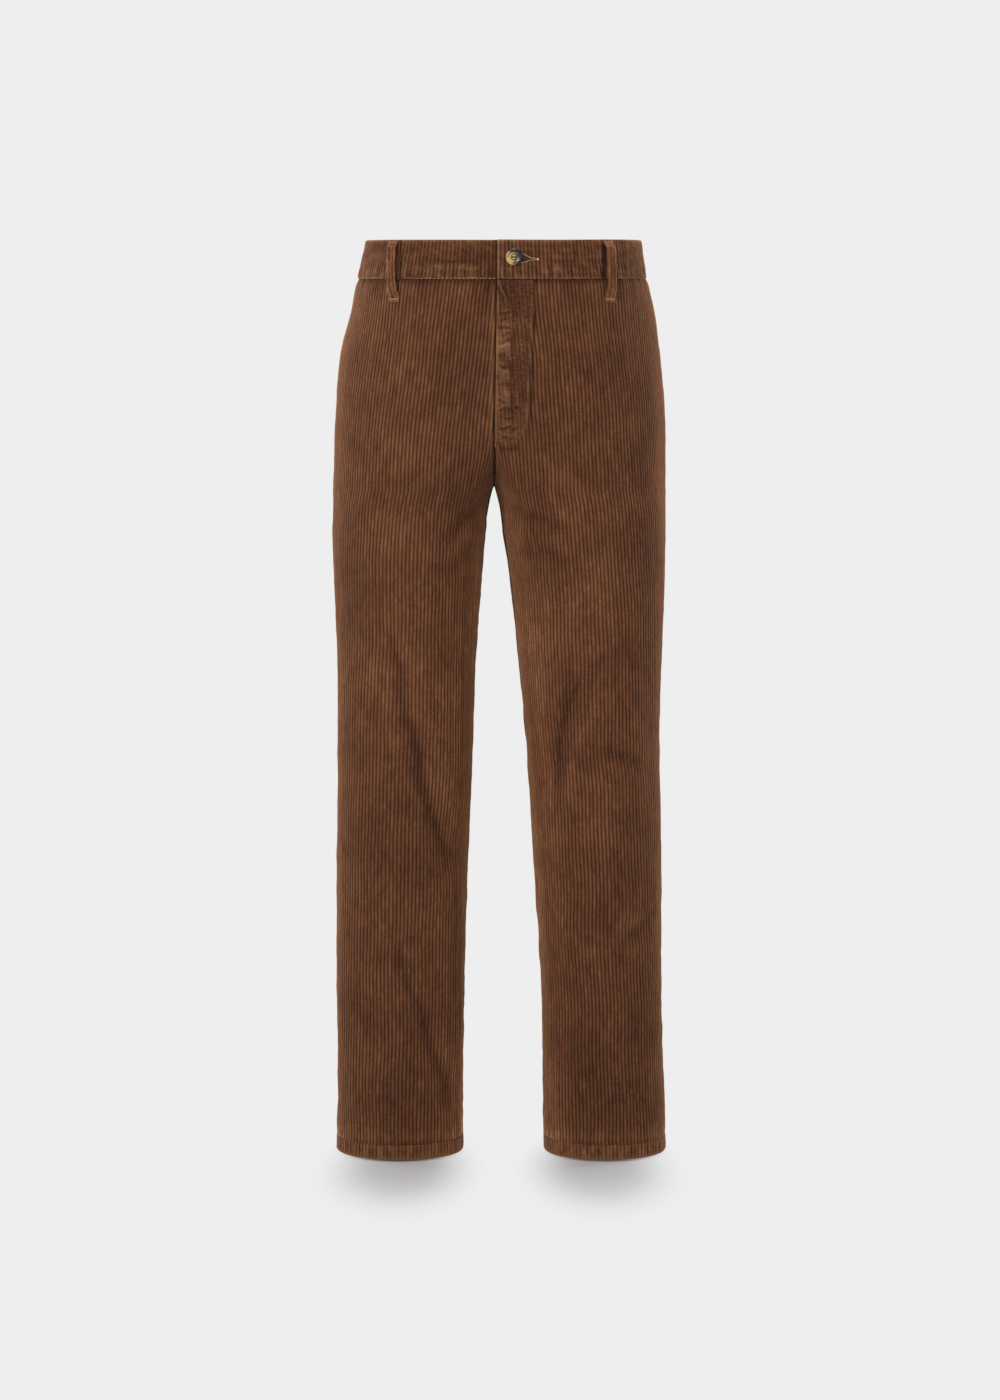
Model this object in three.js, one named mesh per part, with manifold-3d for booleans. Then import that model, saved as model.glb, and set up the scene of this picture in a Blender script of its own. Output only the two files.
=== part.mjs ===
// Corduroy trousers, filled out as they are when worn: a hollow seat, two open legs,
// a waistband with five belt loops, a fly and one button.
// Millimetres, +Z up. The front faces -Y, and +X is the wearer's left.
// The origin is the middle of the waist, halfway up the waistband.

import * as THREE from "three";
import { mergeVertices } from "three/addons/utils/BufferGeometryUtils.js";
import Module from "manifold-3d";

const wasm = await Module();
wasm.setup();

// Driving sizes
const BAND_TOP = 22;
const BAND_SEAM = -22;
const HEM_SEAM = -1029;
const HEM_EDGE = -1047.5;
const SEAM_GAP = 0.3;
const CLOTH = 1.8;
const BAND_CLOTH = 3;
const BAND_PROUD = 0.7;
const HEM_CLOTH = 3;
const HEM_PROUD = 0.4;

// The rise seam runs down the centre front, between the legs and up the centre back.
const RISE = { turn: -150, crotch: -258, topX: -3.4, crotchX: -7 };
const RISE_POWER = 3;
const LEG_POWER = 2.2;
const LEG_ROUND_Z = -400;
const SIDE_POWER = 2.15;

// Half sections of the garment: how far the front and back stand from the side seams,
// where each side seam is, and how much of the half width is the flat of the front.
const SECTIONS = table(
  ["z", "front", "back", "right", "left", "flat"],
  [
    [22, 102, 106, -153.2, 161.4, 0.26],
    [-22, 107, 113, -163.2, 167.9, 0.27],
    [-60, 112, 122, -171.6, 177.8, 0.3],
    [-110, 117, 132, -184, 184.2, 0.36],
    [-160, 120, 138, -188.5, 189.5, 0.42],
    [-207, 119, 136, -191.1, 191.1, 0.47],
    [-258, 112, 125, -192.6, 191.4, 0.5],
    [-323, 102, 110, -194.1, 191.8, 0.5],
    [-400, 94, 98, -191.5, 190.4, 0.5],
    [-470, 88, 89, -189.3, 188, 0.5],
    [-558, 83, 78, -189.8, 186.3, 0.5],
    [-629, 80, 73, -190.2, 187.9, 0.5],
    [-701, 75, 74, -191.9, 189.5, 0.5],
    [-773, 71, 75, -192.3, 190, 0.5],
    [-845, 67, 72, -192.8, 190.4, 0.5],
    [-917, 64, 68, -192, 192, 0.5],
    [-990, 61, 64, -192.5, 195.5, 0.5],
    [-1047.5, 60, 62, -194, 196.4, 0.5],
  ],
);

// Where each inseam hangs below the crotch.
const INSEAMS = table(
  ["z", "right", "left"],
  [
    [-258, -7, -7],
    [-280, -13, -1],
    [-323, -17.4, 5.8],
    [-370, -21, 12.8],
    [-464, -28, 22.2],
    [-558, -31.6, 30.5],
    [-701, -37.7, 40],
    [-845, -41.4, 48.5],
    [-990, -44, 51.1],
    [-1047.5, -44, 52.4],
  ],
);

// Soft folds: each runs from one end to the other, is so wide, and is so deep inward.
// A fold with a depth below nought is a ridge.
const FOLDS = table(
  ["face", "x1", "z1", "x2", "z2", "width", "depth"],
  [
    ["front", -128, -425, -105, -529, 15, 3.6],
    ["front", -105, -529, -60, -700, 17, 4.6],
    ["front", -138, -500, -88, -640, 16, -2.4],
    ["front", -121, -797, -87, -878, 15, 3],
    ["front", -87, -878, -60, -990, 14, 3.4],
    ["front", -14, -278, -72, -318, 13, 3.6],
    ["front", -18, -330, -80, -352, 14, 2.2],
    ["front", 114, -478, 76, -620, 15, -3],
    ["front", 82, -480, 60, -610, 14, 3.4],
    ["front", 118, -556, 166, -574, 12, 2.4],
    ["front", 140, -785, 172, -760, 13, 2.6],
    ["front", 4, -276, 70, -304, 13, 3.4],
    ["front", 12, -330, 84, -344, 15, 2],
    ["back", -20, -268, -96, -330, 18, 4.2],
    ["back", 16, -272, 104, -322, 18, 4.4],
    ["back", -30, -330, -130, -372, 18, 2.8],
    ["back", 30, -344, 120, -360, 16, 2.6],
    ["back", -60, -590, -150, -640, 17, 4.4],
    ["back", -56, -664, -140, -690, 15, 3.2],
    ["back", 64, -604, 158, -628, 17, 4.6],
    ["back", 66, -676, 140, -712, 14, 3],
    ["back", -150, -840, -84, -930, 16, 3],
    ["back", 150, -860, 98, -950, 16, 2.8],
  ],
);

// Folds die away over this share of the width beside a seam, and over these heights at each end.
const FOLD_FADE = { share: 0.12, waist: 30, hem: 40 };

// Rows and columns of the panels
const WAIST_ROWS = 5;
const RISE_ROWS = 10;
const LEG_ROWS = 22;
const PANEL_COLUMNS = 14;
const INNER_SHARE = 8 / PANEL_COLUMNS;
const BAND_COLUMNS = 18;
const BAND_ROWS = 2;
const HEM_COLUMNS = 14;
const HEM_ROWS = 2;
const FINE_STEPS = 40;
const SLOPE_STEP = { height: 0.6, share: 0.004 };
const LEAST_PINCH = 0.02;

const UNDERLAP = { reach: 38, ease: 18, steps: 5 };

const FLY = {
  top: -22.3,
  turn: -165,
  bottom: -210.5,
  topWidth: 42.5,
  turnWidth: 39,
  power: 2.8,
  lift: 0.5,
  cloth: 1.4,
  straightRows: 8,
  curveRows: 10,
  columns: 6,
};

// A belt loop stands clear of the waistband and is seated at both ends.
const LOOP = { width: 11.5, cloth: 2, stand: 5.4, seat: 0.3, top: 21.6, bottom: -47.4, columns: 2 };
const LOOP_BEND = table(
  ["down", "stand"],
  [
    [0, BAND_PROUD + LOOP.seat],
    [3, BAND_PROUD + LOOP.seat + 1],
    [7, BAND_PROUD + LOOP.stand],
    [22, BAND_PROUD + LOOP.stand + 0.5],
    [40, BAND_PROUD + LOOP.stand + 0.5],
    [56, BAND_PROUD + LOOP.stand],
    [62, 1.4],
    [65, LOOP.seat],
    [69, LOOP.seat],
  ],
);
const LOOP_PLACES = table(
  ["name", "face", "topX", "bottomX"],
  [
    ["loop_front_right", "front", -118.5, -118],
    ["loop_front_left", "front", 120.4, 122.7],
    ["loop_back_right", "back", -104, -106],
    ["loop_back_left", "back", 103, 105],
    ["loop_back_centre", "back", -3.5, -3.6],
  ],
);

const BUTTON = { x: 15.7, z: 2.8, radius: 9.25, thick: 3.2, stand: 1.6, dish: 5.6, dishDepth: 0.9 };
const BUTTON_HOLE = { radius: 0.95, ring: 2.3, count: 4 };
const THREAD_RADIUS = 1.5;
const BUTTONHOLE = { eyelet: 2, slit: 1.2, length: 23 };
const CUT_REACH = 7;

const CORD_BROWN = new THREE.MeshStandardMaterial({ color: 0x64412a, roughness: 0.95, metalness: 0 });
const BAND_BROWN = new THREE.MeshStandardMaterial({ color: 0x6c4a32, roughness: 0.95, metalness: 0 });
const HORN = new THREE.MeshStandardMaterial({ color: 0x3a3324, roughness: 0.35, metalness: 0 });
const PALE_THREAD = new THREE.MeshStandardMaterial({ color: 0xb9a27c, roughness: 0.9, metalness: 0 });

// Turns rows of values into objects with the named columns.
function table(columns, rows) {
  return rows.map((row) => Object.fromEntries(columns.map((name, i) => [name, row[i]])));
}

// A column of a table at any height, as a smooth curve through its rows.
function smoothAt(rows, column, z) {
  const last = rows.length - 1;
  const height = Math.min(rows[0].z, Math.max(rows[last].z, z));
  let i = 0;
  while (i < last - 1 && height < rows[i + 1].z) i += 1;
  const a = rows[i];
  const b = rows[i + 1];
  const slope = (p, q) => (q[column] - p[column]) / (q.z - p.z);
  const here = slope(a, b);
  const before = i > 0 ? slope(rows[i - 1], a) : here;
  const after = i < last - 1 ? slope(b, rows[i + 2]) : here;
  const step = b.z - a.z;
  const t = (height - a.z) / step;
  const startSlope = (before + here) / 2;
  const endSlope = (here + after) / 2;
  const t2 = t * t;
  const t3 = t2 * t;
  return (
    (2 * t3 - 3 * t2 + 1) * a[column] +
    (t3 - 2 * t2 + t) * step * startSlope +
    (3 * t2 - 2 * t3) * b[column] +
    (t3 - t2) * step * endSlope
  );
}

function clamp01(value) {
  return Math.min(1, Math.max(0, value));
}

function ease(value) {
  const t = clamp01(value);
  return t * t * (3 - 2 * t);
}

function centreX(z) {
  return THREE.MathUtils.lerp(RISE.topX, RISE.crotchX, clamp01((BAND_SEAM - z) / (BAND_SEAM - RISE.crotch)));
}

// The line of the cloth's face at one height, from the inner seam round to the side seam.
// side is "right" or "left", and face is "front" or "back".
function sectionLine(side, face, z) {
  const sign = side === "left" ? 1 : -1;
  const outward = face === "front" ? -1 : 1;
  const down = clamp01((RISE.turn - z) / (RISE.turn - RISE.crotch));
  const pinch = Math.max(LEAST_PINCH, Math.pow(down, 2 / RISE_POWER));
  const aboveCrotch = z >= RISE.crotch;
  const seam = aboveCrotch ? centreX(z) : smoothAt(INSEAMS, side, z);
  const inner = seam + (sign * SEAM_GAP) / 2;
  const outer = smoothAt(SECTIONS, side, z);
  const depth = smoothAt(SECTIONS, face, z) * outward;
  const centre = inner + smoothAt(SECTIONS, "flat", z) * (outer - inner);
  const reach = (centre - inner) / (aboveCrotch ? pinch : 1);
  const round = ease((RISE.crotch - z) / (RISE.crotch - LEG_ROUND_Z));
  const innerPower = THREE.MathUtils.lerp(RISE_POWER, LEG_POWER, round);
  const start = aboveCrotch ? Math.acos(Math.pow(pinch, innerPower / 2)) : 0;
  const line = [];
  for (let i = 0; i <= FINE_STEPS; i += 1) {
    const angle = start + (Math.PI / 2 - start) * (i / FINE_STEPS);
    const across = Math.pow(Math.cos(angle), 2 / innerPower);
    const along = Math.pow(Math.sin(angle), 2 / innerPower);
    line.push(new THREE.Vector2(centre - reach * across, depth * along));
  }
  for (let i = 1; i <= FINE_STEPS; i += 1) {
    const angle = (Math.PI / 2) * (1 - i / FINE_STEPS);
    const across = Math.pow(Math.max(0, Math.cos(angle)), 2 / SIDE_POWER);
    const along = Math.pow(Math.max(0, Math.sin(angle)), 2 / SIDE_POWER);
    line.push(new THREE.Vector2(centre + (outer - centre) * across, depth * along));
  }
  return line;
}

function lengthOf(line) {
  let total = 0;
  for (let i = 1; i < line.length; i += 1) total += line[i].distanceTo(line[i - 1]);
  return total;
}

// The point a given distance along a line.
function alongLine(line, distance) {
  let rest = distance;
  for (let i = 1; i < line.length; i += 1) {
    const step = line[i].distanceTo(line[i - 1]);
    if (rest <= step || i === line.length - 1) return line[i - 1].clone().lerp(line[i], rest / step);
    rest -= step;
  }
  return line[line.length - 1].clone();
}

// How far the folds push the cloth in at a place on one face.
function foldDepth(face, x, z) {
  let depth = 0;
  for (const fold of FOLDS) {
    if (fold.face !== face) continue;
    const run = new THREE.Vector2(fold.x2 - fold.x1, fold.z2 - fold.z1);
    const length = run.length();
    run.normalize();
    const from = new THREE.Vector2(x - fold.x1, z - fold.z1);
    const along = from.dot(run);
    const across = Math.abs(from.cross(run));
    const start = ease((along + fold.width) / (2 * fold.width));
    const end = ease((length - along + fold.width) / (2 * fold.width));
    depth += fold.depth * start * end * Math.exp(-Math.pow(across / fold.width, 2));
  }
  return depth;
}

// A point of the outer face without folds. share runs from 0 at the inner seam to 1 at the side seam.
// The columns next to the side seam keep their places, and the others take up the rise's curve.
function plainPoint(side, face, z, share) {
  const down = clamp01((RISE.turn - z) / (RISE.turn - RISE.crotch));
  const line = sectionLine(side, face, z);
  const start = (SEAM_GAP / 2) * down;
  const total = lengthOf(line) - start - SEAM_GAP / 2;
  const settle = ease((BAND_SEAM - z) / (BAND_SEAM - RISE.turn));
  const outerLength = (1 - INNER_SHARE) * (total + settle * Math.abs(line[0].y));
  const distance =
    share < INNER_SHARE
      ? ((total - outerLength) * share) / INNER_SHARE
      : total - (outerLength * (1 - share)) / (1 - INNER_SHARE);
  const place = alongLine(line, start + distance);
  return new THREE.Vector3(place.x, place.y, z);
}

// The outward direction of the cloth, from its slopes along and down.
function outwardAt(point, side, face, z, share) {
  const lowZ = z - SLOPE_STEP.height;
  const highZ = z <= RISE.crotch + SLOPE_STEP.height ? z : z + SLOPE_STEP.height;
  const s0 = Math.max(0, share - SLOPE_STEP.share);
  const s1 = Math.min(1, share + SLOPE_STEP.share);
  const alongWay = point(side, face, z, s1).sub(point(side, face, z, s0));
  const upWay = point(side, face, highZ, share).sub(point(side, face, lowZ, share));
  const normal = alongWay.cross(upWay).normalize();
  const flips = (side === "left") !== (face === "front");
  return flips ? normal.negate() : normal;
}

// A point of the outer face with its folds, which die away before each seam.
function clothPoint(side, face, z, share) {
  const point = plainPoint(side, face, z, share);
  const depth = foldDepth(face, point.x, z);
  if (Math.abs(depth) < 0.01) return point;
  const seamFade = ease(share / FOLD_FADE.share) * ease((1 - share) / FOLD_FADE.share);
  const endFade = ease((BAND_SEAM - z) / FOLD_FADE.waist) * ease((z - HEM_SEAM) / FOLD_FADE.hem);
  const fade = seamFade * endFade;
  return point.addScaledVector(outwardAt(plainPoint, side, face, z, share), -depth * fade);
}

// The cloth's face and outward direction where it crosses a given x.
function spotAtX(face, z, x) {
  const side = x > centreX(z) ? "left" : "right";
  let low = 0;
  let high = 0.98;
  for (let i = 0; i < 24; i += 1) {
    const middle = (low + high) / 2;
    const reached = Math.abs(plainPoint(side, face, z, middle).x - centreX(z));
    if (reached < Math.abs(x - centreX(z))) low = middle;
    else high = middle;
  }
  return {
    point: plainPoint(side, face, z, low),
    normal: outwardAt(plainPoint, side, face, z, low),
  };
}

// A closed solid from two grids of points, the outer skin and the inner skin.
// A ring's last column joins its first.
function skinsSolid(outer, inner, ring = false) {
  const rows = outer.length;
  const columns = outer[0].length;
  const positions = [];
  for (const skin of [outer, inner]) {
    for (const row of skin) for (const p of row) positions.push(p.x, p.y, p.z);
  }
  const at = (skin, i, j) => skin * rows * columns + i * columns + (j % columns);
  const faces = [];
  const quad = (a, b, c, d) => faces.push(a, b, c, a, c, d);
  const spans = ring ? columns : columns - 1;
  for (let i = 0; i < rows - 1; i += 1) {
    for (let j = 0; j < spans; j += 1) {
      quad(at(0, i, j), at(0, i, j + 1), at(0, i + 1, j + 1), at(0, i + 1, j));
      quad(at(1, i, j), at(1, i + 1, j), at(1, i + 1, j + 1), at(1, i, j + 1));
    }
  }
  for (let j = 0; j < spans; j += 1) {
    quad(at(1, 0, j), at(1, 0, j + 1), at(0, 0, j + 1), at(0, 0, j));
    quad(at(0, rows - 1, j), at(0, rows - 1, j + 1), at(1, rows - 1, j + 1), at(1, rows - 1, j));
  }
  if (!ring) {
    const end = columns - 1;
    for (let i = 0; i < rows - 1; i += 1) {
      quad(at(0, i, 0), at(0, i + 1, 0), at(1, i + 1, 0), at(1, i, 0));
      quad(at(1, i, end), at(1, i + 1, end), at(0, i + 1, end), at(0, i, end));
    }
  }
  const geometry = new THREE.BufferGeometry();
  geometry.setAttribute("position", new THREE.Float32BufferAttribute(positions, 3));
  geometry.setIndex(volumeOf(positions, faces) > 0 ? faces : turned(faces));
  return geometry;
}

function volumeOf(positions, faces) {
  const corner = (i) => new THREE.Vector3(positions[3 * i], positions[3 * i + 1], positions[3 * i + 2]);
  let volume = 0;
  for (let f = 0; f < faces.length; f += 3) {
    volume += corner(faces[f]).dot(corner(faces[f + 1]).cross(corner(faces[f + 2])));
  }
  return volume / 6;
}

function turned(faces) {
  const result = [];
  for (let f = 0; f < faces.length; f += 3) result.push(faces[f], faces[f + 2], faces[f + 1]);
  return result;
}

// Cuts and joins of closed meshes
function solidOf(geometry) {
  const bare = new THREE.BufferGeometry();
  bare.setAttribute("position", geometry.getAttribute("position"));
  if (geometry.index) bare.setIndex(geometry.index);
  const merged = mergeVertices(bare, 1e-4);
  return new wasm.Manifold(
    new wasm.Mesh({
      numProp: 3,
      vertProperties: new Float32Array(merged.attributes.position.array),
      triVerts: new Uint32Array(merged.index.array),
    }),
  );
}

function geometryOf(solid) {
  const mesh = solid.getMesh();
  const geometry = new THREE.BufferGeometry();
  geometry.setAttribute("position", new THREE.Float32BufferAttribute(mesh.vertProperties, 3));
  geometry.setIndex(Array.from(mesh.triVerts));
  return geometry;
}

// Heights of a panel's rows: even to the turn of the rise, by angle round the crotch, then even.
function panelHeights() {
  const heights = [];
  const top = BAND_SEAM - SEAM_GAP / 2;
  for (let i = 0; i < WAIST_ROWS; i += 1) {
    heights.push(THREE.MathUtils.lerp(top, RISE.turn, i / WAIST_ROWS));
  }
  for (let i = 0; i < RISE_ROWS; i += 1) {
    const angle = (Math.PI / 2) * (i / RISE_ROWS);
    heights.push(THREE.MathUtils.lerp(RISE.turn, RISE.crotch, Math.sin(angle)));
  }
  const bottom = HEM_SEAM + SEAM_GAP / 2;
  for (let i = 0; i <= LEG_ROWS; i += 1) {
    heights.push(THREE.MathUtils.lerp(RISE.crotch, bottom, i / LEG_ROWS));
  }
  return heights;
}

function panel(side, face) {
  const outer = [];
  const inner = [];
  for (const z of panelHeights()) {
    const outerRow = [];
    const innerRow = [];
    for (let j = 0; j <= PANEL_COLUMNS; j += 1) {
      const share = j / PANEL_COLUMNS;
      const point = clothPoint(side, face, z, share);
      const normal = outwardAt(clothPoint, side, face, z, share);
      outerRow.push(point);
      innerRow.push(point.clone().addScaledVector(normal, -CLOTH));
    }
    outer.push(outerRow);
    inner.push(innerRow);
  }
  return skinsSolid(outer, inner);
}

// A hem is a ring: the front from inseam to side seam, then the back from side seam to inseam.
function hem(side) {
  const outer = [];
  const inner = [];
  for (let i = 0; i <= HEM_ROWS; i += 1) {
    const z = THREE.MathUtils.lerp(HEM_SEAM - SEAM_GAP / 2, HEM_EDGE, i / HEM_ROWS);
    const outerRow = [];
    const innerRow = [];
    for (const face of ["front", "back"]) {
      for (let j = 0; j < HEM_COLUMNS; j += 1) {
        const step = j / HEM_COLUMNS;
        const share = face === "front" ? step : 1 - step;
        const point = plainPoint(side, face, z, share);
        const normal = outwardAt(plainPoint, side, face, Math.max(z, HEM_EDGE + 1), share);
        normal.setZ(0).normalize();
        outerRow.push(point.clone().addScaledVector(normal, HEM_PROUD));
        innerRow.push(point.clone().addScaledVector(normal, HEM_PROUD - HEM_CLOTH));
      }
    }
    outer.push(outerRow);
    inner.push(innerRow);
  }
  return skinsSolid(outer, inner, true);
}

// Places along a waistband half, from the centre front round the side to the centre back.
function bandPlaces() {
  const places = [];
  for (let j = 0; j < BAND_COLUMNS; j += 1) places.push({ face: "front", share: j / BAND_COLUMNS });
  for (let j = 0; j <= BAND_COLUMNS; j += 1) places.push({ face: "back", share: 1 - j / BAND_COLUMNS });
  return places;
}

function bandSkins(places, pointAt) {
  const outer = [];
  const inner = [];
  for (let i = 0; i <= BAND_ROWS; i += 1) {
    const z = THREE.MathUtils.lerp(BAND_TOP, BAND_SEAM + SEAM_GAP / 2, i / BAND_ROWS);
    const outerRow = [];
    const innerRow = [];
    for (const place of places) {
      const { point, normal, sink } = pointAt(place, z);
      outerRow.push(point.clone().addScaledVector(normal, BAND_PROUD - sink));
      innerRow.push(point.clone().addScaledVector(normal, BAND_PROUD - sink - BAND_CLOTH));
    }
    outer.push(outerRow);
    inner.push(innerRow);
  }
  return skinsSolid(outer, inner);
}

function levelNormal(side, face, z, share) {
  return outwardAt(plainPoint, side, face, z, share).setZ(0).normalize();
}

function waistbandLeft() {
  return bandSkins(bandPlaces(), ({ face, share }, z) => ({
    point: plainPoint("left", face, z, share),
    normal: levelNormal("left", face, z, share),
    sink: 0,
  }));
}

// The right half dips behind the left half's edge and carries the button.
function waistbandRight() {
  const lap = [];
  for (let j = UNDERLAP.steps; j >= 1; j -= 1) lap.push({ lapX: (UNDERLAP.reach * j) / UNDERLAP.steps });
  const full = BAND_CLOTH + SEAM_GAP;
  return bandSkins([...lap, ...bandPlaces()], (place, z) => {
    if (place.lapX !== undefined) {
      const spot = spotAtX("front", z, centreX(z) + place.lapX);
      return { point: spot.point, normal: spot.normal.setZ(0).normalize(), sink: full };
    }
    const point = plainPoint("right", place.face, z, place.share);
    const away = place.face === "front" ? centreX(z) - point.x : UNDERLAP.ease;
    const sink = full * (1 - ease((away - 1) / UNDERLAP.ease));
    return { point, normal: levelNormal("right", place.face, z, place.share), sink };
  });
}

// A keyhole through the left half: an eyelet round the button's thread and a slit beside it.
function keyhole(frame) {
  const eyelet = new THREE.CylinderGeometry(BUTTONHOLE.eyelet, BUTTONHOLE.eyelet, 2 * CUT_REACH, 20);
  eyelet.rotateX(Math.PI / 2);
  const slit = new THREE.BoxGeometry(BUTTONHOLE.length, BUTTONHOLE.slit, 2 * CUT_REACH);
  slit.translate(BUTTONHOLE.length / 2, 0, 0);
  return solidOf(eyelet.applyMatrix4(frame)).add(solidOf(slit.applyMatrix4(frame)));
}

// The J-shaped placket on the left front.
function fly() {
  const heights = [];
  for (let i = 0; i < FLY.straightRows; i += 1) {
    heights.push(THREE.MathUtils.lerp(FLY.top, FLY.turn, i / FLY.straightRows));
  }
  const curveDrop = FLY.turn - FLY.bottom;
  for (let i = 0; i < FLY.curveRows; i += 1) {
    heights.push(FLY.turn - curveDrop * Math.sin((Math.PI / 2) * (i / FLY.curveRows)));
  }
  const outer = [];
  const inner = [];
  for (const z of heights) {
    const edge = centreX(z) + SEAM_GAP / 2;
    const taper = clamp01((FLY.top - z) / (FLY.top - FLY.turn));
    const straight = THREE.MathUtils.lerp(FLY.topWidth, FLY.turnWidth, taper);
    const drop = clamp01((FLY.turn - z) / curveDrop);
    const width = straight * (1 - drop ** FLY.power) ** (1 / FLY.power);
    const outerRow = [];
    const innerRow = [];
    for (let j = 0; j <= FLY.columns; j += 1) {
      const spot = spotAtX("front", z, edge + (width * j) / FLY.columns);
      outerRow.push(spot.point.clone().addScaledVector(spot.normal, FLY.lift + FLY.cloth));
      innerRow.push(spot.point.clone().addScaledVector(spot.normal, FLY.lift));
    }
    outer.push(outerRow);
    inner.push(innerRow);
  }
  return skinsSolid(outer, inner);
}

// A belt loop: down from the band's top edge, clear of the band, and back to the cloth below it.
function beltLoop({ face, topX, bottomX }) {
  const outer = [];
  const inner = [];
  for (const { down, stand } of LOOP_BEND) {
    const z = LOOP.top - down;
    const middle = THREE.MathUtils.lerp(topX, bottomX, (LOOP.top - z) / (LOOP.top - LOOP.bottom));
    const spot = spotAtX(face, z, middle);
    const normal = spot.normal.setZ(0).normalize();
    const acrossWay = new THREE.Vector3(0, 0, 1).cross(normal);
    const outerRow = [];
    const innerRow = [];
    for (let j = 0; j <= LOOP.columns; j += 1) {
      const aside = LOOP.width * (j / LOOP.columns - 0.5);
      const root = spotAtX(face, z, middle + aside * acrossWay.x).point;
      outerRow.push(root.clone().addScaledVector(normal, stand + LOOP.cloth));
      innerRow.push(root.clone().addScaledVector(normal, stand));
    }
    outer.push(outerRow);
    inner.push(innerRow);
  }
  return skinsSolid(outer, inner);
}

// The button's own frame: its middle on the waistband's face, its axis straight out.
function buttonFrame() {
  const spot = spotAtX("front", BUTTON.z, BUTTON.x);
  const out = spot.normal.setZ(0).normalize();
  const up = new THREE.Vector3(0, 0, 1);
  const across = up.clone().cross(out);
  const base = spot.point.clone().addScaledVector(out, BAND_PROUD);
  return new THREE.Matrix4().makeBasis(across, up, out).setPosition(base);
}

function buttonGeometry(frame) {
  const { radius, thick, stand, dish, dishDepth } = BUTTON;
  const low = stand;
  const high = stand + thick;
  const profile = [
    new THREE.Vector2(0, low),
    new THREE.Vector2(radius - 2.2, low),
    new THREE.Vector2(radius - 0.6, low + 0.7),
    new THREE.Vector2(radius, low + 1.6),
    new THREE.Vector2(radius - 0.5, high - 0.5),
    new THREE.Vector2(radius - 1.5, high),
    new THREE.Vector2(dish + 0.6, high - 0.2),
    new THREE.Vector2(dish - 0.6, high - dishDepth),
    new THREE.Vector2(0, high - dishDepth),
  ];
  const disc = new THREE.LatheGeometry(profile, 32);
  disc.rotateX(Math.PI / 2);
  let solid = solidOf(disc);
  for (let i = 0; i < BUTTON_HOLE.count; i += 1) {
    const angle = (Math.PI / 2) * (i + 0.5);
    const hole = new THREE.CylinderGeometry(BUTTON_HOLE.radius, BUTTON_HOLE.radius, 2 * CUT_REACH, 12);
    hole.rotateX(Math.PI / 2);
    hole.translate(BUTTON_HOLE.ring * Math.cos(angle), BUTTON_HOLE.ring * Math.sin(angle), 0);
    solid = solid.subtract(solidOf(hole));
  }
  return geometryOf(solid).applyMatrix4(frame);
}

// The thread shank runs from the underlap through the eyelet to the button's back.
function threadGeometry(frame) {
  const low = -BAND_CLOTH;
  const high = BUTTON.stand - SEAM_GAP;
  const shank = new THREE.CylinderGeometry(THREAD_RADIUS, THREAD_RADIUS, high - low, 16);
  shank.rotateX(Math.PI / 2);
  shank.translate(0, 0, (low + high) / 2);
  return shank.applyMatrix4(frame);
}

const trousers = new THREE.Group();

function add(name, geometry, material) {
  const mesh = new THREE.Mesh(geometry, material);
  mesh.name = name;
  trousers.add(mesh);
}

for (const side of ["right", "left"]) {
  add(`front_${side}`, panel(side, "front"), CORD_BROWN);
  add(`back_${side}`, panel(side, "back"), CORD_BROWN);
  add(`hem_${side}`, hem(side), CORD_BROWN);
}
add("fly", fly(), CORD_BROWN);

const frame = buttonFrame();
add("waistband_right", waistbandRight(), BAND_BROWN);
add("waistband_left", geometryOf(solidOf(waistbandLeft()).subtract(keyhole(frame))), BAND_BROWN);
for (const place of LOOP_PLACES) add(place.name, beltLoop(place), BAND_BROWN);
add("button", buttonGeometry(frame), HORN);
add("button_thread", threadGeometry(frame), PALE_THREAD);

export default trousers;
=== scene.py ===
"""Corduroy trousers, filled out as when worn: wide-wale brown cotton with a buttoned waistband."""

import math

import bmesh
import bpy
import numpy as np
from mathutils import Matrix, Vector


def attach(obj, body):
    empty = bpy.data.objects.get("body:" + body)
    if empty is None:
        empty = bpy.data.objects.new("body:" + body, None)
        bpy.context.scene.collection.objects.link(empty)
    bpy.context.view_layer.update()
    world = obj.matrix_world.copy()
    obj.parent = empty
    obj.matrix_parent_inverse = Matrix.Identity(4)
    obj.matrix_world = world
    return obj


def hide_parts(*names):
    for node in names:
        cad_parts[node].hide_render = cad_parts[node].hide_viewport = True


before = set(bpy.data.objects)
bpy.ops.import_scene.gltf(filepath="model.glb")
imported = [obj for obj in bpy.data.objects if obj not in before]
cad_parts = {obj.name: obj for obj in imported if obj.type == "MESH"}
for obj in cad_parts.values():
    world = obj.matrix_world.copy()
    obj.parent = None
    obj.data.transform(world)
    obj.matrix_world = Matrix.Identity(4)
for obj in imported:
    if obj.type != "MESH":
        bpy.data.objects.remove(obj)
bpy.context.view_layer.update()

# Sizes in millimetres, in the garment's own frame: +Z up, the front faces -Y,
# +X is the wearer's left and the waistband's middle is at nought.
MM = 0.001
BAND_TOP = 22.0
BAND_SEAM = -22.0
HEM_SEAM = -1029.0
HEM_EDGE = -1047.5
RISE_TURN = -150.0
CROTCH = -258.0
CENTRE_TOP_X = -3.4
CENTRE_CROTCH_X = -7.0
RISE_POWER = 3.0
LEG_POWER = 2.2
LEG_ROUND_Z = -400.0
SIDE_POWER = 2.15
SEAM_HALF_GAP = 0.15
PANEL_EDGE_GAP = 0.02
LEAST_PINCH = 0.02


def table(columns, rows):
    """Rows of values as a dictionary of named columns."""
    return {name: np.array([row[i] for row in rows]) for i, name in enumerate(columns)}


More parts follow.
